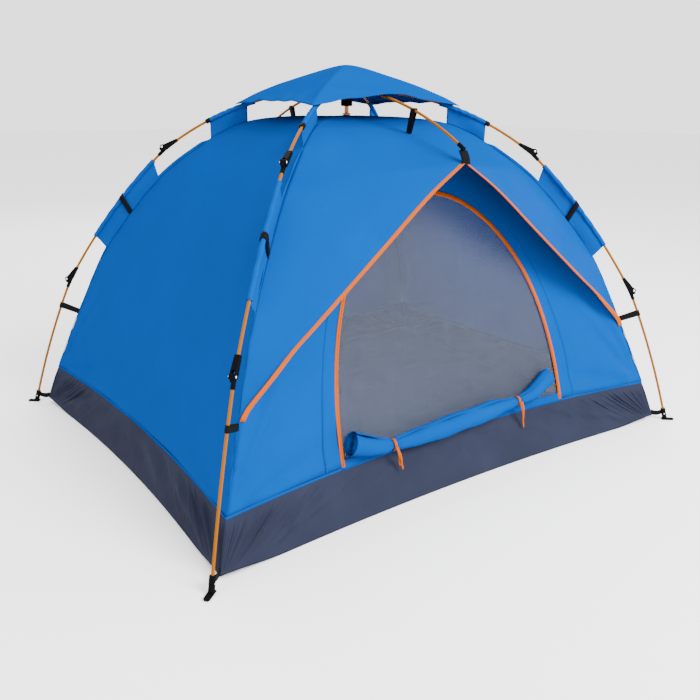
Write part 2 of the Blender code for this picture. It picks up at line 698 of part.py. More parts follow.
def make_door_roll():
    """The cloth door, rolled down to the sill and tied in two places."""
    path = [Vector((x, -wall_depth(x, z) - ROLL_STAND_OFF, z)) for x, z in catmull(ROLL_PATH, 18)]
    curve = rod_curve("door_roll", path, Vector((0, 0, 0)))
    curve.bevel_depth = ROLL_R
    curve.bevel_resolution = 2
    add_object("door_roll", curve, BLUE)


def make_cap(parent):
    """Vent cap: a shallow pyramid over the hub, its four corners down on the poles."""
    half_x, half_y = CAP_HALF
    full = math.sqrt(1 + CAP_ROUND ** 2) - CAP_ROUND
    rows = []
    steps = 12
    for i in range(steps + 1):
        row = []
        for j in range(steps + 1):
            u, v = 2 * i / steps - 1, 2 * j / steps - 1
            spread = max(abs(u), abs(v))
            fall = (math.sqrt(spread ** 2 + CAP_ROUND ** 2) - CAP_ROUND) / full
            lift = CAP_FRONT_LIFT * v ** 2 * (1 - u * u) ** 2 + CAP_SIDE_LIFT * u ** 2 * (1 - v * v)
            row.append((half_x * u, half_y * v, CAP_TOP - CAP_DROP * fall + lift))
        rows.append(row)
    sheet("top_cap", rows, BLUE, parent)


# ---------------------------------------------------------------- assembly
hub_axis = make_hub()
make_legs()
make_eaves()
make_tub()
make_side("left_panel", -1)
make_side("right_panel", 1)
make_awning("front_awning", -1)
make_awning("back_awning", 1)
make_front_wall()
make_back_wall()
make_door_roll()
make_cap(hub_axis)
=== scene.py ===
# %% [markdown]
# # A pop up tent
#
# The frame of this tent is already modelled as exact solids: a hub, rods, elbows and feet. This
# lesson makes everything that is cloth around it, the trim that holds the cloth to the rods, and
# the finishes. All lengths are metres, +Z is up, the door faces -Y, and the origin is on the
# ground under the hub.

# %% Load the frame
import json
import math

import bmesh
import bpy
from mathutils import Matrix, Vector, noise

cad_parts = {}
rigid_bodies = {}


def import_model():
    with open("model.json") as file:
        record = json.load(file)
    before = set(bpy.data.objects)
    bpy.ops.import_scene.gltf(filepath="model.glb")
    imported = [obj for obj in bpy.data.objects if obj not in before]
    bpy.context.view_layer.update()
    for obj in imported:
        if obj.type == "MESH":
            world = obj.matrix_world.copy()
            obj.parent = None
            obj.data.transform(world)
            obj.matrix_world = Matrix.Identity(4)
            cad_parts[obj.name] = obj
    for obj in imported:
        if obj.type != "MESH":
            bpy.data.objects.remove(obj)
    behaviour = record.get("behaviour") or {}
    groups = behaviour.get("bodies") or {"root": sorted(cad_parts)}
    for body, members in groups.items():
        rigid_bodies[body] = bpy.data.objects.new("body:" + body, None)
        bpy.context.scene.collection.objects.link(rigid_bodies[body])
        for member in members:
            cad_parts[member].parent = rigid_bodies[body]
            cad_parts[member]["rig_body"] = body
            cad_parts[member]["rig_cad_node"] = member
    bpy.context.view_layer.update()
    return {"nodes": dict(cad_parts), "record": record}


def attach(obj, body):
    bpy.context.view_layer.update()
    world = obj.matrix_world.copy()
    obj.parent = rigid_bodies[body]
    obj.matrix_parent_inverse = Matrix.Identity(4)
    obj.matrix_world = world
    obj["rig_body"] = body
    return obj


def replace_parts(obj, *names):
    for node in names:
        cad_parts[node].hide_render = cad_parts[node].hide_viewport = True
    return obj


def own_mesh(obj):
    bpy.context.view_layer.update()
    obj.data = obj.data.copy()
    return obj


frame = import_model()

# %% [markdown]
# ## The camera, the floor and the light
#
# The tent is seen from its front left corner, from a little below the height of its peak. The
# lens is a mild 40 mm one, close enough for the near corner to look larger than the far one. Three
# large soft lamps stand in for a studio: the brightest faces the door side, so the front panels
# are lighter than the left one, and a pale floor and sky fill in the rest. A small bluish lamp
# under the roof stands in for the light that thin cloth lets through.

# %% Camera, floor and lights
CAMERA_PLACE = Vector((-1.787, -2.488, 1.260))
CAMERA_AZIMUTH, CAMERA_TILT, CAMERA_ROLL = -36.09, 17.94, -0.53
CAMERA_LENS = 39.7


def make_camera():
    """The camera that the main picture is taken with."""
    azimuth, tilt = math.radians(CAMERA_AZIMUTH), math.radians(CAMERA_TILT)
    level = math.cos(tilt)
    back = Vector((math.sin(azimuth) * level, -math.cos(azimuth) * level, math.sin(tilt)))
    camera = bpy.data.objects.new("camera", bpy.data.cameras.new("camera"))
    bpy.context.scene.collection.objects.link(camera)
    aim = (-back).to_track_quat("-Z", "Y").to_matrix()
    turn = aim @ Matrix.Rotation(math.radians(-CAMERA_ROLL), 3, "Z")
    camera.matrix_world = Matrix.Translation(CAMERA_PLACE) @ turn.to_4x4()
    camera.data.lens = CAMERA_LENS
    camera.data.clip_end = 60
    bpy.context.scene.camera = camera


def area_lamp(name, place, target, size, power, colour=(1, 1, 1)):
    """A square soft lamp that points at a target."""
    lamp = bpy.data.lights.new(name, "AREA")
    lamp.size, lamp.energy, lamp.color = size, power, colour
    holder = bpy.data.objects.new(name, lamp)
    bpy.context.scene.collection.objects.link(holder)
    holder.location = place
    holder.rotation_euler = (Vector(target) - Vector(place)).to_track_quat("-Z", "Y").to_euler()


def plain_material(name, colour, roughness, metallic=0.0):
    """A Principled material, returned with its shader so that nodes can be added."""
    made = bpy.data.materials.new(name)
    made.use_nodes = True
    shader = made.node_tree.nodes["Principled BSDF"]
    shader.inputs["Base Color"].default_value = (*colour, 1)
    shader.inputs["Roughness"].default_value = roughness
    shader.inputs["Metallic"].default_value = metallic
    return made, shader


make_camera()
LAMP_SIZE = 3.0
area_lamp("key", (1.2, -5.0, 4.2), (0, 0, 0.6), LAMP_SIZE, 1000)
area_lamp("left_fill", (-5.5, -0.5, 3.2), (0, 0, 0.6), LAMP_SIZE, 95)
area_lamp("back_rim", (1.5, 4.8, 4.5), (0, 0, 0.8), LAMP_SIZE, 200)
world = bpy.data.worlds.new("studio")
bpy.context.scene.world = world
world.use_nodes = True
sky = world.node_tree.nodes["Background"]
sky.inputs["Color"].default_value, sky.inputs["Strength"].default_value = (1, 1, 1, 1), 2.2
area_lamp("through_cloth", (0, 0, 0.98), (0, 0, 0), 0.7, 26, (0.62, 0.80, 1.0))
FLOOR_DROP = 0.0012
bm = bmesh.new()
bmesh.ops.create_grid(bm, x_segments=1, y_segments=1, size=30)
bmesh.ops.translate(bm, verts=bm.verts, vec=(0, 0, -FLOOR_DROP))
floor_mesh = bpy.data.meshes.new("floor")
bm.to_mesh(floor_mesh)
bm.free()
floor = bpy.data.objects.new("floor", floor_mesh)
bpy.context.scene.collection.objects.link(floor)
floor_mesh.materials.append(plain_material("floor_paper", (0.93, 0.93, 0.93), 0.9)[0])
print("lamps:", len(bpy.data.lights), "and a floor", 1000 * FLOOR_DROP, "mm under the tent")

# %% [markdown]
# ## Finishes
#
# The canopy is coated polyester: smooth, with a soft sheen, a very fine plain weave and faint
# mottling where the coating is thicker. The weave is drawn along each panel's own UV map, which
# is in metres, so threads run the right way on every panel. The rods are resin bonded glass with
# a faint grain along them, and all fittings are moulded nylon with a slightly uneven skin.

# %% Material makers
def node(material, kind, **inputs):
    """A shader node with some of its input values set by name."""
    made = material.node_tree.nodes.new(kind)
    for name, value in inputs.items():
        made.inputs[name.replace("_", " ")].default_value = value
    return made


def join(material, start, out, end, into):
    """A link between two sockets, by name or number."""
    material.node_tree.links.new(start.outputs[out], end.inputs[into])


def calc(material, operation, *parts):
    """A Math node. Each part is a number, or a node with the name of its output."""
    made = node(material, "ShaderNodeMath")
    made.operation = operation
    for k, part in enumerate(parts):
        if isinstance(part, tuple):
            join(material, *part, made, k)
        else:
            made.inputs[k].default_value = part
    return made


def bump(material, height, strength, distance, below=None):
    """A bump from a height, on top of another bump where one is given."""
    made = node(material, "ShaderNodeBump", Strength=strength, Distance=distance)
    join(material, *height, made, "Height")
    if below:
        join(material, below, "Normal", made, "Normal")
    return made


def tones(material, factor, colour, dark, light, ends=(0.0, 1.0)):
    """A colour that runs from a dark to a light tone of itself as a factor rises."""
    made = node(material, "ShaderNodeValToRGB")
    for element, share, end in zip(made.color_ramp.elements, (dark, light), ends):
        element.position = end
        element.color = (*[min(1, a * share) for a in colour], 1)
    join(material, *factor, made, "Fac")
    return made


def wave_scale(pitch):
    """The scale at which a wave texture has one band in each pitch."""
    return 2 * math.pi / (20 * pitch)


def crossed_threads(material, place, pitch, waver):
    """Two sets of bands at right angles along the UV map, one band in each pitch."""
    waves = []
    for direction in ("X", "Y"):
        wave = node(material, "ShaderNodeTexWave", Scale=wave_scale(pitch), Distortion=waver)
        wave.bands_direction = direction
        join(material, place, "UV", wave, "Vector")
        waves.append((wave, "Fac"))
    return waves


print("a wave every 3 mm takes a scale of", round(wave_scale(0.003), 1))

# %% [markdown]
# Woven cloth and moulded or drawn solids each have one maker. Cloth gets mottling, threads and
# soft creases, and a solid gets an uneven skin whose gloss is slightly worn.

# %% Cloth and solid materials
def cloth_material(name, colour, shade, roughness, pitch=0.003, weave=0.05, sheen=0.1, crease=0.25,
                   gloss=0.2):
    """Woven cloth: mottled colour, fine crossed threads and soft creases in the surface."""
    made, shader = plain_material(name, colour, roughness)
    shader.inputs["Sheen Weight"].default_value = sheen
    shader.inputs["Sheen Roughness"].default_value = 0.4
    shader.inputs["Sheen Tint"].default_value = (*colour, 1)
    shader.inputs["Specular IOR Level"].default_value = gloss
    place = node(made, "ShaderNodeTexCoord")
    mottle = node(made, "ShaderNodeTexNoise", Scale=5.0, Detail=6.0, Roughness=0.6)
    join(made, place, "Object", mottle, "Vector")
    mottled = tones(made, (mottle, "Fac"), colour, shade, 1.0, (0.3, 0.7))
    join(made, mottled, "Color", shader, "Base Color")
    folds = node(made, "ShaderNodeTexNoise", Scale=9.0, Detail=3.0, Roughness=0.5, Distortion=0.6)
    join(made, place, "Object", folds, "Vector")
    creased = bump(made, (folds, "Fac"), crease, 0.006)
    threads = calc(made, "MAXIMUM", *crossed_threads(made, place, pitch, 0.3))
    join(made, bump(made, (threads, "Value"), weave, 0.0002, creased), "Normal", shader, "Normal")
    return made


def moulded_material(name, colour, roughness, metallic=0.0, grain=40, skin_bump=0.15, gloss=0.5):
    """A moulded or drawn solid with a fine uneven skin and slightly worn gloss."""
    made, shader = plain_material(name, colour, roughness, metallic)
    shader.inputs["Specular IOR Level"].default_value = gloss
    place = node(made, "ShaderNodeTexCoord")
    spread = node(made, "ShaderNodeMapping", Scale=(grain, grain, grain))
    join(made, place, "Object", spread, "Vector")
    skin = node(made, "ShaderNodeTexNoise", Scale=6.0, Detail=4.0)
    join(made, spread, "Vector", skin, "Vector")
    worn = node(made, "ShaderNodeMapRange", To_Min=roughness * 0.8, To_Max=min(1.0, roughness * 1.25))
    join(made, skin, "Fac", worn, "Value")
    join(made, worn, "Result", shader, "Roughness")
    join(made, tones(made, (skin, "Fac"), colour, 0.85, 1.12), "Color", shader, "Base Color")
    join(made, bump(made, (skin, "Fac"), skin_bump, 0.0004), "Normal", shader, "Normal")
    return made


TAPE_PITCH = 0.0022
BLUE = cloth_material("blue_polyester", (0.0, 0.041, 0.205), 0.93, 0.62, crease=0.35,
                      sheen=0.01, gloss=0.0)
GREY = cloth_material("grey_groundsheet", (0.0165, 0.0190, 0.0345), 0.80, 0.62, crease=0.9, sheen=0.0,
                      gloss=0.015)
WEBBING = cloth_material("black_webbing", (0.003, 0.003, 0.0035), 0.8, 0.7, pitch=TAPE_PITCH, weave=0.6,
                         sheen=0.02, crease=0, gloss=0.05)
BINDING = cloth_material("orange_binding", (0.34, 0.060, 0.0), 0.92, 0.6, pitch=TAPE_PITCH, weave=0.4,
                         sheen=0.0, crease=0, gloss=0.02)
TIE = cloth_material("orange_tie", (0.31, 0.060, 0.0), 0.9, 0.65, pitch=TAPE_PITCH, weave=0.4, sheen=0.0,
                     crease=0, gloss=0.02)
ROD = moulded_material("orange_glass_rod", (0.200, 0.064, 0.0), 0.45, grain=60, skin_bump=0.05,
                       gloss=0.03)
NYLON = moulded_material("black_nylon", (0.0022, 0.0022, 0.0026), 0.62, gloss=0.025)
COPPER = moulded_material("copper_tube", (0.45, 0.17, 0.08), 0.33, 0.9)
STEEL = moulded_material("bright_rivet", (0.75, 0.75, 0.76), 0.25, 1.0, skin_bump=0.05)
print("materials:", len(bpy.data.materials))

# %% [markdown]
# Hems and felled seams are the same cloth with a row of stitches along them. Each stitch could be
# a tiny solid, but there are thousands, so they are drawn: a dash wherever the distance along the
# strip falls in the first part of a stitch, in a narrow band of the distance across it.

# %% Stitched cloth
def stitched_cloth(name, colour, thread, row, pitch=0.007, width=0.0009):
    """Blue cloth with one row of stitches at a distance across its strip, raised along the thread."""
    made = cloth_material(name, colour, 0.93, 0.62, crease=0.2, sheen=0.01, gloss=0.0)
    shader = made.node_tree.nodes["Principled BSDF"]
    place = node(made, "ShaderNodeTexCoord")
    split = node(made, "ShaderNodeSeparateXYZ")
    join(made, place, "UV", split, "Vector")
    along = calc(made, "FRACT", (calc(made, "MULTIPLY", (split, "X"), 1 / pitch), "Value"))
    dash = calc(made, "LESS_THAN", (along, "Value"), 0.66)
    band = calc(made, "COMPARE", (split, "Y"), row, width)
    stitch = calc(made, "MULTIPLY", (dash, "Value"), (band, "Value"))
    cloth = shader.inputs["Base Color"].links[0].from_node
    surface = shader.inputs["Normal"].links[0].from_node
    mix = node(made, "ShaderNodeMix")
    mix.data_type = "RGBA"
    cloth_socket, thread_socket, mixed_socket = 6, 7, 2
    mix.inputs[thread_socket].default_value = (*thread, 1)
    join(made, stitch, "Value", mix, "Factor")
    join(made, cloth, "Color", mix, cloth_socket)
    join(made, mix, mixed_socket, shader, "Base Color")
    join(made, bump(made, (stitch, "Value"), 0.5, 0.0004, surface), "Normal", shader, "Normal")
    return made


SEAM = stitched_cloth("stitched_blue_polyester", (0.0, 0.038, 0.192), (0.0, 0.020, 0.120), 0.0045)
print("stitched:", SEAM.name)

# %% [markdown]
# The door is an insect mesh. A real mesh has a hole every millimetre or so, far too many to
# model, and from a distance the eye sees only an even grey veil. So the sheet is partly see
# through all over, with a faint check and a few thicker threads drawn on it.

# %% Insect mesh material
def screen_material(name, colour, pitch, cover):
    """Insect mesh: an even veil with a faint check and a few thicker threads each way."""
    made, shader = plain_material(name, colour, 0.75)
    shader.inputs["Alpha"].default_value = cover
    shader.inputs["Specular IOR Level"].default_value = 0.05
    place = node(made, "ShaderNodeTexCoord")
    both = calc(made, "ADD", *crossed_threads(made, place, pitch, 0.6))
    check = calc(made, "MULTIPLY", (both, "Value"), 0.5)
    thick_threads = []
    for stretch in ((9, 130, 1), (130, 9, 1)):
        run = node(made, "ShaderNodeMapping", Scale=stretch)
        thick = node(made, "ShaderNodeTexNoise", Scale=1.0, Detail=3.0, Roughness=0.7)
        join(made, place, "UV", run, "Vector")
        join(made, run, "Vector", thick, "Vector")
        thick_threads.append((thick, "Fac"))
    cross = calc(made, "ADD", *thick_threads)
    uneven = calc(made, "MULTIPLY_ADD", (check, "Value"), 0.2, (cross, "Value"))
    spread = node(made, "ShaderNodeMapRange", From_Min=0.7, From_Max=1.5)
    join(made, uneven, "Value", spread, "Value")
    join(made, tones(made, (spread, "Result"), colour, 0.72, 1.28), "Color", shader, "Base Color")
    join(made, bump(made, (check, "Value"), 0.02, 0.0002), "Normal", shader, "Normal")
    return made


MESH = screen_material("grey_insect_mesh", (0.058, 0.066, 0.091), pitch=0.006, cover=0.56)
print("the mesh covers", MESH.node_tree.nodes["Principled BSDF"].inputs["Alpha"].default_value)

# %% [markdown]
# ## One way to make a cloth panel
#
# Every panel here starts as a flat grid, as real cloth starts as a flat roll. A place rule then
# says where each point of the grid goes, from two numbers that run from 0 to 1 across and along
# the panel. The grid's UV map is kept in metres. A Solidify modifier gives the cloth a thickness
# that shows at its edges.

# %% Grid pieces
CLOTH_THICKNESS = 0.0006


def finish_piece(name, bm, material, body, sharp=50):
    """A bmesh becomes an object that rides on a body."""
    bmesh.ops.recalc_face_normals(bm, faces=bm.faces)
    mesh = bpy.data.meshes.new(name)
    bm.to_mesh(mesh)
    bm.free()
    mesh.shade_smooth()
    mesh.set_sharp_from_angle(angle=math.radians(sharp))
    mesh.materials.append(material)
    made = bpy.data.objects.new(name, mesh)
    bpy.context.scene.collection.objects.link(made)
    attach(made, body)
    return made


def grid_bmesh(across, along, place, size=(1.0, 1.0)):
    """A grid whose points are put where place(u, v) says, with a UV map in metres."""
    bm = bmesh.new()
    uv = bm.loops.layers.uv.new("UVMap")
    bmesh.ops.create_grid(bm, x_segments=across, y_segments=along, size=0.5, calc_uvs=True)
    for face in bm.faces:
        for loop in face.loops:
            loop[uv].uv = ((loop.vert.co.x + 0.5) * size[0], (loop.vert.co.y + 0.5) * size[1])
    for vert in bm.verts:
        vert.co = place(vert.co.x + 0.5, vert.co.y + 0.5)
    return bm


def add_thickness(piece, thickness):
    """A Solidify modifier that thickens a sheet evenly to both sides."""
    step = piece.modifiers.new("thickness", "SOLIDIFY")
    step.thickness, step.offset = thickness, 0.0
    return piece


def panel(name, across, along, place, material, body, size=(1.0, 1.0), thickness=CLOTH_THICKNESS,
          weld=False, mirror=False):
    """A cloth panel, strip or tube from a place rule."""
    bm = grid_bmesh(across, along, place, size)
    if mirror:
        bmesh.ops.mirror(bm, geom=bm.verts[:] + bm.edges[:] + bm.faces[:], axis="X", merge_dist=1e-4)
    if weld:
        bmesh.ops.remove_doubles(bm, verts=bm.verts, dist=1e-5)
    piece = finish_piece(name, bm, material, body)
    return add_thickness(piece, thickness) if thickness else piece


print("cloth is drawn", 1000 * CLOTH_THICKNESS, "mm thick")

# %% [markdown]
# Many shapes here follow a curve through a few measured points. The curve is laid out as even
# points, so that a share of its length finds a place on it.

# %% Smooth lines
def blend_value(low, high, t):
    """Smooth step from 0 at low to 1 at high."""
    t = max(0.0, min(1.0, (t - low) / (high - low)))
    return t * t * (3 - 2 * t)


def smooth_line(points, count=160):
    """Even points along a smooth curve through a few points."""
    pts = [Vector(p) for p in points]
    pts = [2 * pts[0] - pts[1]] + pts + [2 * pts[-1] - pts[-2]]
    line = []
    for a, b, c, d in zip(pts, pts[1:], pts[2:], pts[3:]):
        for k in range(20):
            t = k / 20
            line.append(0.5 * (2 * b + (c - a) * t + (2 * a - 5 * b + 4 * c - d) * t * t
                               + (3 * b - a - 3 * c + d) * t ** 3))
    line.append(pts[-2])
    reach = [0.0]
    for a, b in zip(line, line[1:]):
        reach.append(reach[-1] + (b - a).length)
    even = []
    k = 0
    for i in range(count):
        want = reach[-1] * i / (count - 1)
        while k < len(line) - 2 and reach[k + 1] < want:
            k += 1
        even.append(line[k].lerp(line[k + 1], min(1.0, (want - reach[k]) / (reach[k + 1] - reach[k]))))
    return even


def walk(line, s):
    """The point at a share s of a line of even points."""
    place = max(0.0, min(1.0, s)) * (len(line) - 1)
    k = min(int(place), len(line) - 2)
    return line[k].lerp(line[k + 1], place - k)


def line_length(line):
    """Length of a line of points."""
    return sum((b - a).length for a, b in zip(line, line[1:]))


quarter = smooth_line([(math.cos(a), math.sin(a)) for a in (0, 0.52, 1.05, 1.57)])
print("a quarter circle of radius 1 comes out", round(line_length(quarter), 3), "long")

# %% [markdown]
# ## The legs' centre lines
#
# The trim follows the rods, so their centre lines are worked out once. Each leg is a chain in an
# upright plane: a straight socket, an evenly bent rod, an elbow, another rod, and so on. Points
# are (distance from the hub's axis, height).

# %% Leg lines
LEG_AZIMUTH = 39.1
CORNERS = {"fr": -LEG_AZIMUTH, "br": LEG_AZIMUTH, "bl": 180 - LEG_AZIMUTH, "fl": 180 + LEG_AZIMUTH}
HUB_PIVOT = Vector((0.045, 1.297))
ELBOW_OFFSET, SOCKET_REACH, TAB_REACH, ARM_SLEEVE = 0.012, 0.064, 0.034, 0.058
RODS = {"upper": (0.5915, -30.6), "mid": (0.5870, -13.6), "lower": (0.4985, -7.8)}
BENDS = {"upper": -3.3, "mid": -9.9, "lower": -7.8}
POLE_R = 0.00475


def heading(angle):
    """Unit vector at an angle above the horizontal, and the normal above it."""
    a = math.radians(angle)
    return Vector((math.cos(a), math.sin(a))), Vector((-math.sin(a), math.cos(a)))


def bent_line(start, angle, length, turn, steps=24):
    """Points along an evenly bent rod."""
    line = [start.copy()]
    for k in range(steps):
        along, _ = heading(angle + turn * (k + 0.5) / steps)
        line.append(line[-1] + along * length / steps)
    return line


leg_lines, elbows = {}, {}
angle = BENDS["upper"]
here = HUB_PIVOT + heading(angle)[0] * ARM_SLEEVE
for part, (length, turn) in RODS.items():
    if part != "upper":
        along, outside = heading(angle)
        elbows[part] = here + along * SOCKET_REACH + outside * ELBOW_OFFSET
        angle += BENDS[part]
        along, outside = heading(angle)
        here = elbows[part] + along * TAB_REACH - outside * ELBOW_OFFSET
    leg_lines[part] = bent_line(here, angle, length, turn)
    here, angle = leg_lines[part][-1], angle + turn
foot_mouth, foot_angle = here, angle
print("elbows at", [tuple(round(c, 3) for c in e) for e in elbows.values()], "foot", tuple(foot_mouth))


def leg_place(corner, distance, height, side=0.0):
    """A point of a leg's plane in the frame. side is across the plane."""
    a = math.radians(CORNERS[corner])
    x = distance * math.cos(a) - side * math.sin(a)
    y = distance * math.sin(a) + side * math.cos(a)
    return Vector((x, y, height))


# %% [markdown]
# ## The shape of the canopy
#
# A dome tent is cut as flat panels, and tension makes it round. The corner seams carry the
# tension: each hangs a hand's width inside its leg, from the roof's middle down to the tub. A
# panel between two seams is drawn in at its middle, most at the bottom. The same curve gives the
# CAD its solids, so the cloth lies where they are.

# %% Canopy lines
CORNER_PROFILE = [(0.0, 1.209), (0.035, 1.2035), (0.200, 1.201), (0.350, 1.186), (0.450, 1.154),
                  (0.550, 1.098), (0.742, 0.955), (0.966, 0.691), (1.102, 0.440), (1.231, 0.163)]
ROOF_TOP = 1.209
TUB_TOP = 0.161
SIDE_BOW = 0.045
seam_line = smooth_line(CORNER_PROFILE, 240)
SEAM_LENGTH = line_length(seam_line)


def seam_place(s, quadrant=(1, 1)):
    """A point of a corner seam: s is 0 at the hub and 1 at the tub."""
    p = walk(seam_line, s)
    a = math.radians(LEG_AZIMUTH)
    return Vector((quadrant[0] * p.x * math.cos(a), quadrant[1] * p.x * math.sin(a), p.y))


def seam_share(height):
    """How far down the seam a height is reached, as a share of its length."""
    for k, (a, b) in enumerate(zip(seam_line, seam_line[1:])):
        if b.y <= height <= a.y and k > 20:
            return (k + (a.y - height) / max(1e-9, a.y - b.y)) / (len(seam_line) - 1)
    return 1.0


print("corner seam:", round(SEAM_LENGTH, 3), "m")

# %% [markdown]
# ## The side panels
#
# Each side is one gore, from the tub over the shoulder to the hub. It is stretched tight, so its
# folds are faint: short puckers where the corner seams gather it, and long shallow draws that
# start at the lower corners. A slow noise keeps the sheet from looking machined.

# %% Side panels
def drift(x, y, scale, size):
    """A slow, repeatable waver for large cloth."""
    return size * noise.noise(Vector((x * scale, y * scale, 3.7)))


def corner_draws(distance, height, size):
    """Shallow folds that fan out from a corner at the tub."""
    reach = math.hypot(distance, height)
    fan = math.atan2(height, distance + 1e-6)
    fade = blend_value(0.02, 0.10, reach) * (1 - blend_value(0.15, 0.60, reach))
    return size * fade * math.sin(13 * fan + 2 * math.sin(5 * fan))


def side_place(side):
    """Place rule of a side panel: u runs along the floor, v from the hub down to the tub."""
    def place(u, v):
        w = 2 * u - 1
        p = seam_place(v)
        draw = SIDE_BOW * (1 - (p.z / ROOF_TOP) ** 4)
        pucker = 0.0016 * math.sin(v * 95 + 3 * w)
        pucker *= blend_value(0.88, 0.99, abs(w)) * blend_value(0.2, 0.3, v)
        from_edge = (1 - abs(w)) * p.y
        folds = corner_draws(from_edge, p.z - TUB_TOP, 0.0042)
        waver = drift(w * 2 + side, v * 3, 1.7, 0.004) * (1 - w * w) * blend_value(0.1, 0.3, v)
        push = pucker + folds + waver
        return Vector((side * (p.x - draw * (1 - w * w) + push * blend_value(0.25, 0.4, v)), w * p.y,
                       p.z + push * (1 - blend_value(0.25, 0.4, v))))
    return place


for name, side in (("left", -1), ("right", 1)):
    piece = panel(name + "_cloth", 96, 110, side_place(side), BLUE, "canopy",
                  (1.55, SEAM_LENGTH))
    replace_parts(piece, name + "_panel")
print("side panels are", round(SEAM_LENGTH, 3), "m long from hub to tub")

# %% [markdown]
# ## The front and back panels
#
# The front panel is the roof between the front legs, carried forwards by the eave pole to a
# point, and drawn down in two wings to the corners. Its free edges are bound with orange tape.
# Half of it is placed between two lines, the corner seam and the ridge followed by the free edge,
# and the other half is its mirror. The back of the tent has the same panel.

# %% Front and back panels
RIDGE = [(0.0, 1.209), (0.035, 1.2035), (0.200, 1.183), (0.360, 1.154), (0.655, 1.072)]
AWNING_FOOT = Vector((0.870, 0.706, 0.386))
FREE_EDGE = [(0.0, 1.072), (0.149, 0.976), (0.344, 0.824), (0.580, 0.642), (0.668, 0.577),
             (0.744, 0.515), (0.810, 0.462), (0.846, 0.427), (0.870, 0.386)]
APEX_SHARE = 0.47
ridge_line = smooth_line([(0, -y, z) for y, z in RIDGE], 80)
free_line = smooth_line([(x, -0.655 - 0.051 * x / AWNING_FOOT.x, z) for x, z in FREE_EDGE], 120)
wing_foot_share = seam_share(AWNING_FOOT.z)


def awning_place(back):
    """Place rule of half an awning: u from the seam to the middle, v from the hub outwards."""
    def place(u, v):
        seam = seam_place(v * wing_foot_share, (1, -1))
        if v < APEX_SHARE:
            edge = walk(ridge_line, v / APEX_SHARE)
        else:
            edge = walk(free_line, (v - APEX_SHARE) / (1 - APEX_SHARE))
        point = seam.lerp(edge, u)
        span = (edge - seam).length
        sag = 0.05 * span * u * (1 - u) * blend_value(0.05, 0.3, v)
        waver = drift(u * 2 + 5, v * 4, 1.5, 0.004) * u * (1 - u) * 4 * blend_value(0.1, 0.3, v)
        point.z -= sag + waver
        return Vector((point.x, point.y * (-1 if back else 1), point.z))
    return place


BINDING_WIDTH, BINDING_THICKNESS = 0.019, 0.0026


def binding_place(back, side):
    """Place rule of the tape folded over a free edge. It turns down the wall at the awning's foot."""
    rule, out = awning_place(back), 1 if back else -1
    foot_turn, foot_stand = Vector((0.95, 0.15 * out, 0.30)), Vector((0.0, 0.003 * out, 0.0))

    def place(u, v):
        t = APEX_SHARE + 0.002 + (0.988 - APEX_SHARE) * v
        edge, inner = rule(1.0, t), rule(0.97, t)
        at_foot = blend_value(0.72, 0.94, v)
        inward = (inner - edge).normalized().lerp(foot_turn, at_foot).normalized()
        reach = BINDING_WIDTH * (1 - u) - 0.0012 - 0.009 * at_foot
        point = edge + inward * reach + foot_stand * at_foot
        return Vector((side * point.x, point.y, point.z))
    return place


for end, back in (("front", False), ("back", True)):
    piece = panel(end + "_awning_cloth", 48, 110, awning_place(back), BLUE, "canopy",
                  (0.6, 1.3), mirror=True)
    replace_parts(piece, end + "_awning")
    bindings = [panel(end + "_awning_" + name, 4, 120, binding_place(back, side), BINDING, "canopy",
                      (BINDING_WIDTH, 1.1), thickness=BINDING_THICKNESS)
                for name, side in (("binding", 1), ("binding_left", -1))]
print("half an awning's free edge:", round(line_length(free_line), 3), "m")

# %% [markdown]
# ## The front wall, its door and the back wall
#
# Under the awning stands the wall that the door is cut in. It leans in towards the roof, bulges
# towards the corners where the seams pull it, and ends in an arch. An orange zip runs round the
# arch. The mesh door fills it, and lies a few millimetres further in.

# %% Walls
DOOR_HALF_WIDTH, DOOR_SILL, DOOR_HEIGHT = 0.51, 0.168, 0.787
WALL_LEAN, WALL_FOOT, WALL_SHOULDER = 0.298, 0.690, 1.085
ARCH_POWER = 0.91


def wall_depth(x, z):
    """Distance of the wall from the tent's middle plane."""
    s = seam_share(z)
    edge = seam_place(s)
    middle = WALL_FOOT - WALL_LEAN * (z - TUB_TOP)
    return middle + (edge.y - middle) * min(1.0, (x / max(edge.x, 1e-3)) ** 2) - 0.0015


def door_outline(theta, grow=0.0):
    """A point of the arch as x and height; theta runs from 0 to pi."""
    return ((DOOR_HALF_WIDTH + grow) * math.cos(theta),
            DOOR_SILL + (DOOR_HEIGHT + grow) * max(0.0, math.sin(theta)) ** ARCH_POWER)


def wall_outline(theta):
    """The matching point on the wall's outer edge."""
    turn = math.radians(62)
    if theta > math.pi / 2:
        x, z = wall_outline(math.pi - theta)
        return -x, z
    if theta <= turn:
        z = TUB_TOP + (WALL_SHOULDER - TUB_TOP) * theta / turn
        return seam_place(seam_share(z)).x - 0.001, z
    shoulder = seam_place(seam_share(WALL_SHOULDER)).x - 0.001
    x = shoulder * (math.pi / 2 - theta) / (math.pi / 2 - turn)
    return x, WALL_SHOULDER + 0.038 * (1 - (x / shoulder) ** 2)


def front_wall_place(u, v):
    """Place rule of the front wall: u round the arch, v from the door out to the seams."""
    theta = math.pi * u
    (x0, z0), (x1, z1) = door_outline(theta), wall_outline(theta)
    x, z = x0 + (x1 - x0) * v, z0 + (z1 - z0) * v
    edge_x = seam_place(seam_share(z)).x
    folds = corner_draws(max(0.0, edge_x - abs(x)), z - TUB_TOP, 0.0055)
    waver = drift(x * 1.5, z * 2, 2.0, 0.004) * v * (1 - v) * 4
    return Vector((x, -wall_depth(x, z) - folds - waver, z))


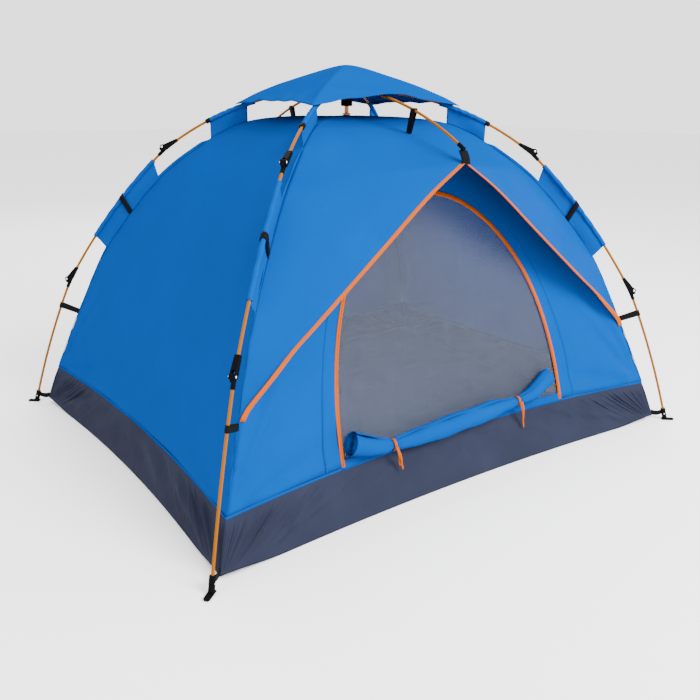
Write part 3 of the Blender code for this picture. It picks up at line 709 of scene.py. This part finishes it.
front_wall = panel("front_wall_cloth", 150, 26, front_wall_place, BLUE, "canopy",
                   (2.2, 0.4))
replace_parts(front_wall, "front_wall")
print("door arch:", 2 * DOOR_HALF_WIDTH, "m wide,", DOOR_HEIGHT, "m high")

# %% [markdown]
# The back wall is the same sheet without a door, so it is one plain grid from seam to seam.

# %% Back wall
def back_wall_place(u, v):
    """Place rule of the back wall: u across, v from the tub up to the awning."""
    z = TUB_TOP + (WALL_SHOULDER - TUB_TOP) * v
    w = 2 * u - 1
    half = seam_place(seam_share(z)).x - 0.001
    top = 0.038 * (1 - w * w) * blend_value(0.9, 1.0, v)
    x = half * w
    folds = corner_draws(half - abs(x), z - TUB_TOP, 0.003)
    waver = drift(x * 1.5 + 9, z * 2, 2.0, 0.005) * (1 - w * w)
    return Vector((x, wall_depth(x, z + top) + folds + waver, z + top))


back_wall = panel("back_wall_cloth", 90, 60, back_wall_place, BLUE, "canopy", (1.9, 0.95))
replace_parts(back_wall, "back_wall")
print("the back wall leans in", round(WALL_LEAN * (WALL_SHOULDER - TUB_TOP), 3), "m")

# %% [markdown]
# The mesh door hangs from the zip all round, so it only sags a little in its middle.

# %% Mesh door
def screen_place(u, v):
    """Place rule of the mesh door: u across, v from the sill up."""
    theta = math.radians(90) * v
    half, z = door_outline(theta)
    x = half * (2 * u - 1)
    sag = 0.006 * math.sin(math.pi * u) * math.sin(math.pi * min(1.0, v))
    return Vector((x, -wall_depth(x, z) + 0.004 + sag, z))


def flat_uv(piece):
    """Draw a piece's weave straight across and straight up, whatever the shape of its grid."""
    layer = piece.data.uv_layers["UVMap"].data
    for loop, spot in zip(piece.data.loops, layer):
        co = piece.data.vertices[loop.vertex_index].co
        spot.uv = (co.x, co.z)


screen = panel("door_mesh", 60, 60, screen_place, MESH, "canopy", thickness=0, weld=True)
flat_uv(screen)
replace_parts(screen, "door_screen")
print("the mesh door has", len(screen.data.polygons), "faces")

# %% [markdown]
# The zip is an orange tape with a closed coil along its middle. Below it a hem closes the wall
# at the sill, and two felled seams run up the wall beside it.

# %% Zip, sill and wall seams
def zip_place(u, v):
    """A zip tape that follows the door's arch."""
    theta = math.pi * u
    x, z = door_outline(theta, -0.003 + 0.0145 * v)
    return Vector((x, -wall_depth(x, z) - 0.0022, z))


def zip_teeth_place(u, v):
    """The closed coil along the middle of the zip tape."""
    theta = math.pi * u
    turn = 2 * math.pi * v
    x, z = door_outline(theta, 0.002 + 0.0018 * math.cos(turn))
    return Vector((x, -wall_depth(x, z) - 0.0035 - 0.0013 * math.sin(turn), z))


def sill_place(u, v):
    """The hem under the door, between the two ends of the zip."""
    x = (DOOR_HALF_WIDTH + 0.012) * (2 * u - 1)
    z = TUB_TOP - 0.004 + 0.032 * v
    ripple = 0.003 * noise.noise(Vector((x * 14, z * 9, 5.0))) * v
    return Vector((x, -wall_depth(x, z) - 0.0012 - ripple, z))


def wall_seam_place(side):
    """Place rule of a felled seam that runs up the wall beside the zip."""
    def place(u, v):
        point = front_wall_place(0.001 + 0.28 * u, 0.165 + 0.016 * (v - 0.5))
        point.y -= 0.0008 + 0.0012 * math.sin(math.pi * v)
        point.x *= side
        return point
    return place


sill = panel("door_sill", 80, 4, sill_place, SEAM, "canopy", (1.03, 0.032))
zip_tape = panel("door_zip_tape", 160, 3, zip_place, BINDING, "canopy", (2.2, 0.0125),
                 thickness=0.0012)
wall_seams = [panel("wall_seam_" + name, 60, 4, wall_seam_place(side), SEAM, "canopy",
                    (0.6, 0.007), thickness=0) for name, side in (("right", 1), ("left", -1))]
zip_coil = panel("door_zip_coil", 200, 8, zip_teeth_place, BINDING, "canopy", (2.2, 0.01),
                 thickness=0, weld=True)
print("the zip's arch is", 2 * DOOR_HALF_WIDTH, "m across, with", len(wall_seams), "seams beside it")

# %% [markdown]
# ## The tub
#
# The groundsheet turns up into a grey wall a hand high. The legs pull only at its corners, so
# the sides curve in between them, and the stiff coated cloth gathers in deep folds that fan out
# from every corner. The folds are pushed out of the wall by a rule of the angle round the corner.

# %% Tub
TUB_CORNER, TUB_CORNER_TOP = Vector((1.000, 0.815)), Vector((0.955, 0.775))
TUB_BOW_SIDE, TUB_BOW_FRONT, FRONT_BOW_TOP = 0.045, 0.050, 0.087
CORNER_LIFT = 0.016


def tub_point(side, t, height_share):
    """A point on one side of the tub's wall, for t from -1 to 1, and the way out of it."""
    corner = TUB_CORNER.lerp(TUB_CORNER_TOP, height_share)
    bow = TUB_BOW_FRONT + (FRONT_BOW_TOP - TUB_BOW_FRONT) * height_share
    draw = 1 - t * t
    sign = -1 if side in (0, 3) else 1
    if side % 2 == 0:
        return Vector((-sign * corner.x * t, sign * (corner.y - bow * draw))), Vector((0, sign))
    return Vector((sign * (corner.x - TUB_BOW_SIDE * draw), sign * corner.y * t)), Vector((sign, 0))


def side_position(u):
    """Which side u is on, and its place from -1 to 1 there. Columns crowd towards the corners."""
    part = (4 * u) % 4
    side, t = int(part) % 4, 2 * (part - int(part)) - 1
    return side, math.copysign(1 - (1 - abs(t)) ** 1.6, t)


def tub_folds(at_seam, v):
    """How far the wall stands out in its folds, from where a fold meets the top seam."""
    fade = 1 - blend_value(0.18, 0.66, at_seam)
    phase = 2 * math.pi * 9.5 * (1 - math.exp(-at_seam / 0.27))
    ridge = 1 - 2 * abs(math.sin(phase + 0.5 * math.sin(2.3 * phase))) ** 0.75
    uneven = 0.7 + 0.3 * math.sin(1.7 * phase + 0.8)
    near = 0.0032 + 0.0038 * blend_value(0.02, 0.25, at_seam)
    slow = noise.noise(Vector((at_seam * 9 - v * 1.8, v * 1.2 + at_seam * 2, 8.0)))
    rise = min(1.0, v / 0.55) ** 0.8 * (1 - 0.97 * blend_value(0.70, 1.0, v))
    return (near * fade * ridge * uneven + 0.017 * slow * blend_value(0.10, 0.4, at_seam)) * rise


def tub_place(u, v):
    """Place rule of the tub's wall: u round it, v up it. Columns lean towards the floor corners."""
    side, t = side_position(u)
    half = TUB_CORNER_TOP.x if side % 2 == 0 else TUB_CORNER_TOP.y
    at_seam = (1 - abs(t)) * half
    lean = 0.14 + 0.86 * blend_value(0.12, 0.80, at_seam)
    from_corner = at_seam * (v + (1 - v) * lean)
    point, out = tub_point(side, math.copysign(1 - from_corner / half, t), v)
    lift = CORNER_LIFT * (1 - blend_value(0.0, 0.22, from_corner)) * (1 - v)
    height = 0.0012 + (TUB_TOP - 0.0012) * v + lift
    push = tub_folds(at_seam, v)
    return Vector((point.x + out.x * push, point.y + out.y * push, height))


tub = panel("tub_wall_cloth", 1200, 26, tub_place, GREY, "canopy", (7.1, 0.17), weld=True)
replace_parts(tub, "tub_wall")
print("floor corner at", tuple(round(c, 3) for c in TUB_CORNER), "and tub top at", TUB_TOP)

# %% [markdown]
# The groundsheet lies flat, rises a little into its corners, and meets the foot of the wall on
# every side. The canopy's turned edge is sewn over the top of the wall.

# %% Groundsheet and tub seam
def ground_place(u, v):
    """Place rule of the groundsheet: it reaches the foot of the wall on every side."""
    a, b = 2 * u - 1, 2 * v - 1
    x = a * (TUB_CORNER.x - TUB_BOW_SIDE * (1 - b * b))
    y = b * (TUB_CORNER.y - TUB_BOW_FRONT * (1 - a * a))
    gap = math.hypot((1 - abs(a)) * TUB_CORNER.x, (1 - abs(b)) * TUB_CORNER.y)
    wave = 0.0012 * noise.noise(Vector((x * 9, y * 9, 1.0))) + 0.0012
    lift = CORNER_LIFT * (1 - blend_value(0.0, 0.22, gap))
    return Vector((x, y, 0.0012 + lift + wave * blend_value(0.0, 0.1, min(1 - abs(a), 1 - abs(b)))))


def tub_seam_place(u, v):
    """Place rule of the canopy's turned edge, which is sewn over the top of the tub all round."""
    side, t = side_position(u)
    point, out = tub_point(side, t, 1.0)
    stand = 0.0009 - 0.0004 * v
    return Vector((point.x + out.x * stand, point.y + out.y * stand, TUB_TOP - 0.007 + 0.013 * v))


tub_seam = panel("tub_seam", 400, 3, tub_seam_place, SEAM, "canopy", (7.1, 0.013),
                 thickness=0.0005, weld=True)
ground = panel("groundsheet_cloth", 120, 100, ground_place, GREY, "canopy", (2.0, 1.63))
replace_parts(ground, "ground_sheet")
print("groundsheet pieces:", ground.name, tub_seam.name)

# %% [markdown]
# ## The vent cap
#
# A small pyramid of cloth keeps rain out of the open mesh of the roof. The post on the hub holds
# its peak up, and its corners are tied down to the upper poles. Its hem is cut straight, so it
# hangs in small scallops, and the front and back hems ride up over the eave poles.

# %% Vent cap
CAP_TOP, CAP_DROP, CAP_ROUND = 1.3848, 0.142, 0.12
CAP_HALF = (0.330, 0.268)
CAP_FRONT_LIFT, CAP_SIDE_LIFT = 0.043, 0.014


def cap_place(u, v):
    """Place rule of the cap: u along X, v along Y."""
    a, b = 2 * u - 1, 2 * v - 1
    spread = max(abs(a), abs(b))
    full = math.sqrt(1 + CAP_ROUND ** 2) - CAP_ROUND
    fall = (math.sqrt(spread ** 2 + CAP_ROUND ** 2) - CAP_ROUND) / full
    tented = 1 - (math.sqrt(a * a + 0.02) - 0.1414) / 0.8686
    lift = CAP_FRONT_LIFT * b * b * tented + CAP_SIDE_LIFT * a * a * (1 - b * b)
    hem = blend_value(0.80, 1.0, spread)
    along = a if abs(b) > abs(a) else b
    scallop = 0.0080 * hem * noise.noise(Vector((a * 3.6, b * 3.6, 4.0))) * (1 - along ** 4)
    waver = drift(a * 2 + 11, b * 2, 1.6, 0.004) * spread * (1 - hem)
    return Vector((CAP_HALF[0] * a, CAP_HALF[1] * b, CAP_TOP - CAP_DROP * fall + lift + scallop + waver))


cap = panel("vent_cap_cloth", 96, 96, cap_place, BLUE, "hub", (0.72, 0.6))
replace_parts(cap, "top_cap")


def hem_place(u, v):
    """The doubled hem round the cap: u round it, v in from the edge."""
    part = (4 * u) % 4
    side, t = int(part) % 4, part - int(part)
    inset = 0.5 - 0.022 * v
    corners = [(-inset, -inset), (inset, -inset), (inset, inset), (-inset, inset)]
    (ax, ay), (bx, by) = corners[side], corners[(side + 1) % 4]
    point = cap_place(ax + (bx - ax) * t + 0.5, ay + (by - ay) * t + 0.5)
    return point - Vector((0, 0, 0.0012))


cap_hem = panel("vent_cap_hem", 240, 2, hem_place, SEAM, "hub", (2.3, 0.012),
                thickness=0.0018, weld=True)
print("vent cap's peak at", CAP_TOP)

# %% [markdown]
# ## The rolled door
#
# The cloth door is unzipped and rolled down to the sill, and two orange tapes tie it there. A
# roll is a spiral, and the loose turns show at its open end, so the sheet is really wound: its
# radius grows with each turn, shrinks where a tie bites into it, and wavers along it.

# %% Rolled door
ROLL_PATH = [(-0.492, 0.244), (-0.400, 0.211), (-0.300, 0.196), (-0.100, 0.196), (0.120, 0.205),
             (0.275, 0.214), (0.360, 0.230), (0.452, 0.270)]
ROLL_TURNS = 5.2
TIE_PLACES = (-0.325, 0.270)
roll_line = smooth_line([(x, 0, z) for x, z in ROLL_PATH], 160)
for point in roll_line:
    point.y = -wall_depth(point.x, point.z) - 0.034 + 0.012 * blend_value(0.34, 0.45, point.x)
ROLL_SIZES = [(-0.52, 0.041), (-0.43, 0.035), (-0.36, 0.028), (-0.325, 0.016), (-0.29, 0.024),
              (-0.20, 0.034), (0.0, 0.037), (0.14, 0.034), (0.23, 0.023), (0.270, 0.013),
              (0.31, 0.022), (0.38, 0.031), (0.45, 0.034)]


def roll_radius(x):
    """Outer radius of the roll along the sill."""
    for (xa, ra), (xb, rb) in zip(ROLL_SIZES, ROLL_SIZES[1:]):
        if x <= xb:
            return ra + (rb - ra) * blend_value(xa, xb, x)
    return ROLL_SIZES[-1][1]


def roll_place(u, v):
    """Place rule of the rolled door: u along it, v from its outer edge to its core."""
    centre = walk(roll_line, u)
    ahead = (walk(roll_line, u + 0.01) - walk(roll_line, u - 0.01)).normalized()
    turn = 2 * math.pi * ROLL_TURNS * v
    radius = roll_radius(centre.x) * (1 - 0.62 * v)
    radius *= 1 + 0.10 * noise.noise(Vector((u * 9, math.cos(turn) * 1.2, math.sin(turn) * 1.2 + v * 3)))
    radius *= 1 + 0.05 * math.sin(3 * turn / ROLL_TURNS + 30 * u)
    near_tie = max(math.exp(-((centre.x - x) / 0.055) ** 2) for x in TIE_PLACES)
    radius *= 1 + 0.09 * near_tie * math.sin(11 * turn + 2 * math.sin(2 * turn))
    out = Vector((0, -1, 0))
    up = ahead.cross(out).normalized()
    if up.z < 0:
        up.negate()
    return centre + (out * math.cos(turn + 1.2) * 0.85 + up * math.sin(turn + 1.2)) * radius


roll = panel("rolled_door_cloth", 150, 120, roll_place, BLUE, "canopy", (1.02, 0.5))
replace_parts(roll, "door_roll")
print("the roll is", round(line_length(roll_line), 3), "m long in", ROLL_TURNS, "turns")

# %% [markdown]
# Each tie is a narrow tape round the roll's waist, knotted in front, with two ends of different
# lengths that hang down over the tub.

# %% Door ties
TIE_WIDTH = 0.010


def tie_band(x):
    """A tape round the roll's waist."""
    centre = min(roll_line, key=lambda p: abs(p.x - x))

    def place(u, v):
        turn = 2 * math.pi * u
        radius = roll_radius(x) + 0.0035
        return Vector((centre.x + (v - 0.5) * TIE_WIDTH, centre.y - 0.9 * radius * math.cos(turn),
                       centre.z + radius * math.sin(turn)))
    return place


def tie_tail(x, length, lean, kick):
    """A loose end of the tape, from the knot down over the tub."""
    centre = min(roll_line, key=lambda p: abs(p.x - x))

    def place(u, v):
        drop = length * u
        twist = 1.1 * u
        front = centre.y - roll_radius(x) * 0.9 - 0.006 - kick * math.sin(math.pi * min(1.0, 1.3 * u))
        z = max(0.004, centre.z - drop)
        base = -wall_depth(x, TUB_TOP) - 0.012 - 0.45 * max(0.0, TUB_TOP - z)
        return Vector((centre.x + lean * u + (v - 0.5) * TIE_WIDTH * math.cos(twist), min(front, base),
                       z + (v - 0.5) * TIE_WIDTH * math.sin(twist) * 0.6))
    return place


TIE_TAILS = ((0.088, 0.030), (0.105, 0.028))
TIE_ENDS = ((1.0, 1.0), (0.80, 0.55))
TIE_THICKNESS = 0.0014
for k, (x, (length, lean)) in enumerate(zip(TIE_PLACES, TIE_TAILS)):
    panel(f"door_tie_band_{k}", 32, 2, tie_band(x), TIE, "canopy",
                      (0.16, TIE_WIDTH), thickness=TIE_THICKNESS, weld=True)
    for j, (share, swing) in enumerate(TIE_ENDS):
        tail = tie_tail(x + 0.003 * j, length * share, lean * swing, 0.006)
        panel(f"door_tie_tail_{k}_{j}", 20, 2, tail, TIE, "canopy",
                          (length, TIE_WIDTH), thickness=TIE_THICKNESS)

# %% [markdown]
# ## Sleeves, gussets and straps
#
# The cloth hangs from the rods in three ways. Short webs with a sleeve tie the roof to the upper
# poles, longer sleeves run down the middle poles, and a strap holds each lower pole. Each web is
# a strip between the rod's line and the corner seam, and its sleeve is a loose tube on the rod.

# %% Sleeves and gussets
def line_at(part, s):
    """A point of a rod's line and its direction, at a share of its length."""
    line = leg_lines[part]
    a, b = walk(line, s - 0.01), walk(line, s + 0.01)
    return walk(line, s), (b - a).normalized()


def sleeve_place(corner, part, start, end, radius):
    """Place rule of a loose tube on a rod."""
    def place(u, v):
        s = start + (end - start) * v
        centre, along = line_at(part, s)
        outside = Vector((-along.y, along.x))
        turn = 2 * math.pi * u
        loose = radius * (1 + 0.12 * math.sin(37 * v + 2 * turn) * math.sin(math.pi * v))
        point = centre + outside * loose * math.cos(turn)
        return leg_place(corner, point.x, point.y, loose * math.sin(turn))
    return place


def nearest_seam(distance):
    """The share of the seam at a distance from the hub's axis."""
    for k, p in enumerate(seam_line):
        if p.x >= distance:
            return k / (len(seam_line) - 1)
    return 1.0


def web_place(corner, part, start, end, seam_start, seam_end, bulge=0.004):
    """Place rule of a web from a rod down to the corner seam."""
    def place(u, v):
        rod_point, _ = line_at(part, start + (end - start) * v)
        seam_point = walk(seam_line, seam_start + (seam_end - seam_start) * v)
        point = rod_point.lerp(seam_point, u)
        side = bulge * math.sin(math.pi * u) * math.sin(5 * v + u)
        return leg_place(corner, point.x, point.y, side)
    return place


SLEEVE_R, BAND_WIDTH = 0.0085, 0.026
GUSSET = {"start": 0.475, "end": 0.745,
          "seam_start": nearest_seam(0.375), "seam_end": nearest_seam(0.520)}
SLEEVE = {"start": 0.055, "end": 0.730,
          "seam_start": nearest_seam(0.735), "seam_end": nearest_seam(0.972)}
for corner in CORNERS:
    upper, mid = "upper_" + corner, "mid_" + corner
    web = panel("gusset_web_" + corner, 14, 24, web_place(corner, "upper", **GUSSET), BLUE, upper,
                (0.08, 0.16))
    tube = sleeve_place(corner, "upper", GUSSET["start"] - 0.05, GUSSET["end"], SLEEVE_R)
    sleeve = panel("gusset_sleeve_" + corner, 20, 24, tube, BLUE, upper, (0.05, 0.2),
                   weld=True)
    tube = sleeve_place(corner, "upper", GUSSET["end"] - 0.004, GUSSET["end"] + BAND_WIDTH, SLEEVE_R)
    band = panel("gusset_band_" + corner, 20, 3, tube, WEBBING, upper, (0.05, 0.015),
                 thickness=0.0014, weld=True)
    tube = sleeve_place(corner, "mid", SLEEVE["start"], SLEEVE["end"], SLEEVE_R)
    sleeve = panel("pole_sleeve_" + corner, 20, 60, tube, BLUE, mid, (0.05, 0.4),
                   weld=True)
    web = panel("pole_web_" + corner, 14, 60, web_place(corner, "mid", **SLEEVE), BLUE, mid,
                (0.06, 0.4))

# %% [markdown]
# Straps are black webbing a finger wide. The one at the middle of a pole sleeve goes round the
# sleeve and back to the seam. The lower one does the same on the bare lower pole, and stays with
# the cloth when the leg folds away. A last piece ties each corner of the floor to its foot.

# %% Straps
STRAP_WIDTH = 0.021


def strap_place(corner, part, s, seam_s, radius):
    """Place rule of a strap that loops round a rod and comes back to the seam."""
    centre, along = line_at(part, s)
    back = walk(seam_line, seam_s) - centre
    reach = back.length
    back.normalize()

    def place(u, v):
        shift = along * (v - 0.5) * STRAP_WIDTH
        if u < 0.35:
            t = u / 0.35
            spot, side = centre + back * reach * (1 - t), radius * (0.25 + 0.75 * t)
        elif u > 0.65:
            t = (u - 0.65) / 0.35
            spot, side = centre + back * reach * t, -radius * (1 - 0.75 * t)
        else:
            turn = math.pi * (u - 0.35) / 0.30
            spot, side = centre - back * radius * math.sin(turn), radius * math.cos(turn)
        return leg_place(corner, spot.x + shift.x, spot.y + shift.y, side)
    return place


def corner_tie_place(corner):
    """Place rule of the web from the floor's corner to the foot."""
    start, end = Vector((1.283, 0.032)), Vector((1.328, 0.034))

    def place(u, v):
        point = start.lerp(end, u)
        sag = 0.006 * math.sin(math.pi * u)
        return leg_place(corner, point.x, point.y - sag + (v - 0.5) * 0.020, 0.0)
    return place


STRAP_THICKNESS = 0.0016
STRAP_LOOP_SLEEVE, STRAP_LOOP_ROD = 0.0112, 0.0068
LOWER_STRAPS = {"fl": (0.215, 0.392), "fr": (0.125, 0.430), "bl": (0.17, 0.410), "br": (0.17, 0.410)}
middle = (SLEEVE["start"] + SLEEVE["end"]) / 2
seam_middle = (SLEEVE["seam_start"] + SLEEVE["seam_end"]) / 2
for corner, (share, seam_height) in LOWER_STRAPS.items():
    loop = strap_place(corner, "mid", middle, seam_middle, STRAP_LOOP_SLEEVE)
    panel("sleeve_strap_" + corner, 36, 3, loop, WEBBING, "mid_" + corner,
          (0.14, STRAP_WIDTH), thickness=STRAP_THICKNESS)
    loop = strap_place(corner, "lower", share, seam_share(seam_height), STRAP_LOOP_ROD)
    panel("lower_strap_" + corner, 36, 3, loop, WEBBING, "canopy", (0.14, STRAP_WIDTH),
          thickness=STRAP_THICKNESS)
    panel("corner_tie_" + corner, 12, 3, corner_tie_place(corner), WEBBING, "canopy",
          (0.06, 0.02), thickness=STRAP_THICKNESS)
print("lower straps meet the seams at heights", [height for _, height in LOWER_STRAPS.values()])

# %% [markdown]
# The seams between the panels are felled: both edges are folded together and stand up as a thin
# fin along the corner. It shows as a paler line beside each leg.

# %% Corner seams
FIN_START, FIN_END, FIN_HEIGHT = nearest_seam(0.525), 0.995, 0.011


def fin_place(corner):
    """Place rule of the fin on a corner seam: u out from it, v along it."""
    def place(u, v):
        s = FIN_START + (FIN_END - FIN_START) * v
        point = walk(seam_line, s)
        ahead = (walk(seam_line, s + 0.01) - walk(seam_line, s - 0.01)).normalized()
        outside = Vector((-ahead.y, ahead.x))
        height = FIN_HEIGHT * blend_value(0.0, 0.04, v) * (1 - 0.85 * blend_value(0.35, 0.65, v))
        point = point + outside * (height * u - 0.0005)
        return leg_place(corner, point.x, point.y, 0.0015 * math.sin(60 * v) * u)
    return place


for corner in CORNERS:
    panel("corner_seam_" + corner, 3, 120, fin_place(corner), BLUE, "canopy", (0.012, 1.1),
          thickness=0.0012)
print("corner seams stand", 1000 * FIN_HEIGHT, "mm out")

# %% [markdown]
# ## Eave straps
#
# Halfway along each eave pole a strap drops to the ridge, and at the tip another holds the
# awning's point.

# %% Eave straps
EAVE_ANGLE, EAVE_LENGTH, EAVE_TURN = -5.5, 0.545, -24.0
eave_start = HUB_PIVOT + heading(EAVE_ANGLE)[0] * ARM_SLEEVE
eave_line = bent_line(eave_start, EAVE_ANGLE, EAVE_LENGTH, EAVE_TURN)
EAVE_STRAP_SHARE, EAVE_STRAP_RIDGE, EAVE_STRAP_WIDTH, EAVE_LOOP_R = 0.545, 0.368, 0.024, 0.0062


def eave_strap_place(sign):
    """Place rule of a strap that loops over the eave pole and drops to the ridge on both sides."""
    top = walk(eave_line, EAVE_STRAP_SHARE)
    low = min(ridge_line, key=lambda p: abs(-p.y - EAVE_STRAP_RIDGE))

    def place(u, v):
        turn = math.pi * max(0.0, min(1.0, (u - 0.4) / 0.2))
        t = min(1.0, u / 0.4, (1 - u) / 0.4)
        across = EAVE_LOOP_R * math.cos(turn) * (0.3 + 0.7 * t)
        y = -low.y + (top.x + low.y) * t
        z = low.z + (top.y - low.z) * t + EAVE_LOOP_R * math.sin(turn)
        return Vector((across, sign * (y + (v - 0.5) * EAVE_STRAP_WIDTH), z))
    return place


def tip_strap_place(sign):
    """Place rule of the strap that holds the awning's point under the eave pole's tip."""
    tip = eave_line[-1] + (eave_line[-1] - eave_line[-2]).normalized() * 0.026
    apex = ridge_line[-1]

    def place(u, v):
        side = v - 0.5
        y = tip.x - 0.002 + (-apex.y - tip.x + 0.004) * u
        z = tip.y - 0.006 + (apex.z - tip.y + 0.002) * u
        return Vector((side * 0.024, sign * (y + 0.004 * math.sin(math.pi * u) + side * 0.014), z))
    return place


for end, sign in (("front", -1), ("back", 1)):
    panel("eave_strap_" + end, 40, 3, eave_strap_place(sign), WEBBING, "canopy",
          (0.2, EAVE_STRAP_WIDTH), thickness=0.0014)
    panel("tip_strap_" + end, 12, 4, tip_strap_place(sign), WEBBING, "eave_" + end,
          (0.05, 0.022), thickness=0.0016)
print("eave tip at", tuple(round(c, 3) for c in eave_line[-1]))

# %% [markdown]
# ## The rods and fittings
#
# The frame's solids are right as they are. The rods only need a rounder skin, since the solids
# are ten sided, so each gets a smooth tube of its own, and the moulded fittings get softened
# edges.

# %% Rods
ROD_RUNS = {"upper": (0.033, 0.0415), "mid": (0.016, 0.0415), "lower": (0.016, 0.0255)}
EAVE_RUNS = (0.033, 0.024)


def rod_axis(line, run_in, run_out):
    """Even points along a bent rod and the straight ends that sit in its sockets."""
    first = (line[0] - line[1]).normalized()
    last = (line[-1] - line[-2]).normalized()
    whole = [line[0] + first * run_in] + line + [line[-1] + last * run_out]
    return smooth_line([(p.x, p.y) for p in whole], 60)


def rod_point(axis, u, v):
    """A point of a rod's skin as distance, height and side: u round it, v along it."""
    centre = walk(axis, v)
    along = (walk(axis, v + 0.02) - walk(axis, v - 0.02)).normalized()
    turn = 2 * math.pi * u
    point = centre + Vector((-along.y, along.x)) * POLE_R * math.cos(turn)
    return point.x, point.y, POLE_R * math.sin(turn)


def closed_tube(name, place, body, material, replaced):
    """A round tube with capped ends."""
    bm = grid_bmesh(20, 36, place, (0.03, 0.6))
    bmesh.ops.remove_doubles(bm, verts=bm.verts, dist=1e-5)
    bmesh.ops.holes_fill(bm, edges=[e for e in bm.edges if e.is_boundary], sides=0)
    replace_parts(finish_piece(name, bm, material, body), replaced)


for corner in CORNERS:
    for part, runs in ROD_RUNS.items():
        axis = rod_axis(leg_lines[part], *runs)
        closed_tube(f"{part}_rod_{corner}",
                    lambda u, v, axis=axis, corner=corner: leg_place(corner, *rod_point(axis, u, v)),
                    f"{part}_{corner}", ROD, f"{part}_pole_{corner}")
eave_axis = rod_axis(eave_line, *EAVE_RUNS)


def eave_place(sign):
    """Place rule of an eave pole's skin."""
    def place(u, v):
        y, z, x = rod_point(eave_axis, u, v)
        return Vector((x, sign * y, z))
    return place


for end, sign in (("front", -1), ("back", 1)):
    closed_tube("eave_rod_" + end, eave_place(sign), "eave_" + end, ROD,
                "eave_pole_" + end)
print("rods:", {part: length for part, (length, _) in RODS.items()})

# %% [markdown]
# The fittings are moulded nylon. A mould's edges are never sharp, because the plastic would not
# fill them and a sharp edge would cut the cloth, so each fitting that shows gets a small rounding.
# The hub keeps its own solids and only takes its colours.

# %% Fittings
SOFTENED = ("foot", "upper_elbow", "lower_elbow", "arm_socket", "eave_socket", "eave_tip")
KEPT = {"hub_crown": NYLON, "hub_collar": NYLON, "cap_post": NYLON, "hub_stem": COPPER}


def soften(node_name, body, width=0.0008):
    """A copy of a frame solid with its edges rounded over."""
    bm = bmesh.new()
    bm.from_mesh(frame["nodes"][node_name].data)
    bmesh.ops.remove_doubles(bm, verts=bm.verts, dist=1e-6)
    bmesh.ops.dissolve_limit(bm, angle_limit=math.radians(1), verts=bm.verts, edges=bm.edges)
    piece = finish_piece(node_name + "_moulding", bm, NYLON, body, sharp=35)
    round_over = piece.modifiers.new("round", "BEVEL")
    round_over.width, round_over.segments = width, 2
    round_over.limit_method, round_over.angle_limit = "ANGLE", math.radians(38)
    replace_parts(piece, node_name)


softened = 0
for body, names in frame["record"]["behaviour"]["bodies"].items():
    for name in names:
        if name.startswith(SOFTENED):
            soften(name, body)
            softened += 1
        elif name in KEPT:
            finishes = frame["nodes"][name].data.materials
            finishes.clear()
            finishes.append(KEPT[name])
print("softened fittings:", softened)

# %% [markdown]
# Each elbow turns on a bright rivet whose two domed heads show, and a smaller one locks each
# foot on its pole.

# %% Rivets
ELBOW_RIVET, FOOT_RIVET = (0.0108, 0.0042), (0.0092, 0.0026)


def rivet(name, corner, body, distance, height, half, radius):
    """Two domed heads, one on each face of a fitting."""
    bm = bmesh.new()
    for side in (-1, 1):
        made = bmesh.ops.create_uvsphere(bm, u_segments=16, v_segments=8, radius=radius)["verts"]
        a = math.radians(CORNERS[corner])
        place = Matrix.Translation(leg_place(corner, distance, height, side * half))
        turn = Matrix.Rotation(a, 4, "Z") @ Matrix.Diagonal((1, 0.5, 1, 1))
        bmesh.ops.transform(bm, matrix=place @ turn, verts=made)
    return finish_piece(name, bm, STEEL, body)


foot_rivet = foot_mouth + heading(foot_angle)[0] * 0.022
for corner in CORNERS:
    for part, body in (("mid", "upper_"), ("lower", "mid_")):
        rivet(f"{part}_rivet_{corner}", corner, body + corner, *elbows[part], *ELBOW_RIVET)
    rivet("foot_rivet_" + corner, corner, "lower_" + corner, *foot_rivet, *FOOT_RIVET)
print("rivets:", 3 * len(CORNERS))

# %% [markdown]
# ## Own meshes for the cloth
#
# Each piece that rides on the canopy, and the vent cap with its hem, takes a copy of its mesh for its
# own.

canopy_pieces = [p for p in bpy.data.objects if p.type == "MESH" and p.get("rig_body") == "canopy"
                 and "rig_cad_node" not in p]
for piece in canopy_pieces:
    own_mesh(piece)
for piece in (cap, cap_hem):
    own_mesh(piece)
print("pieces that flatten:", len(canopy_pieces) + 2)
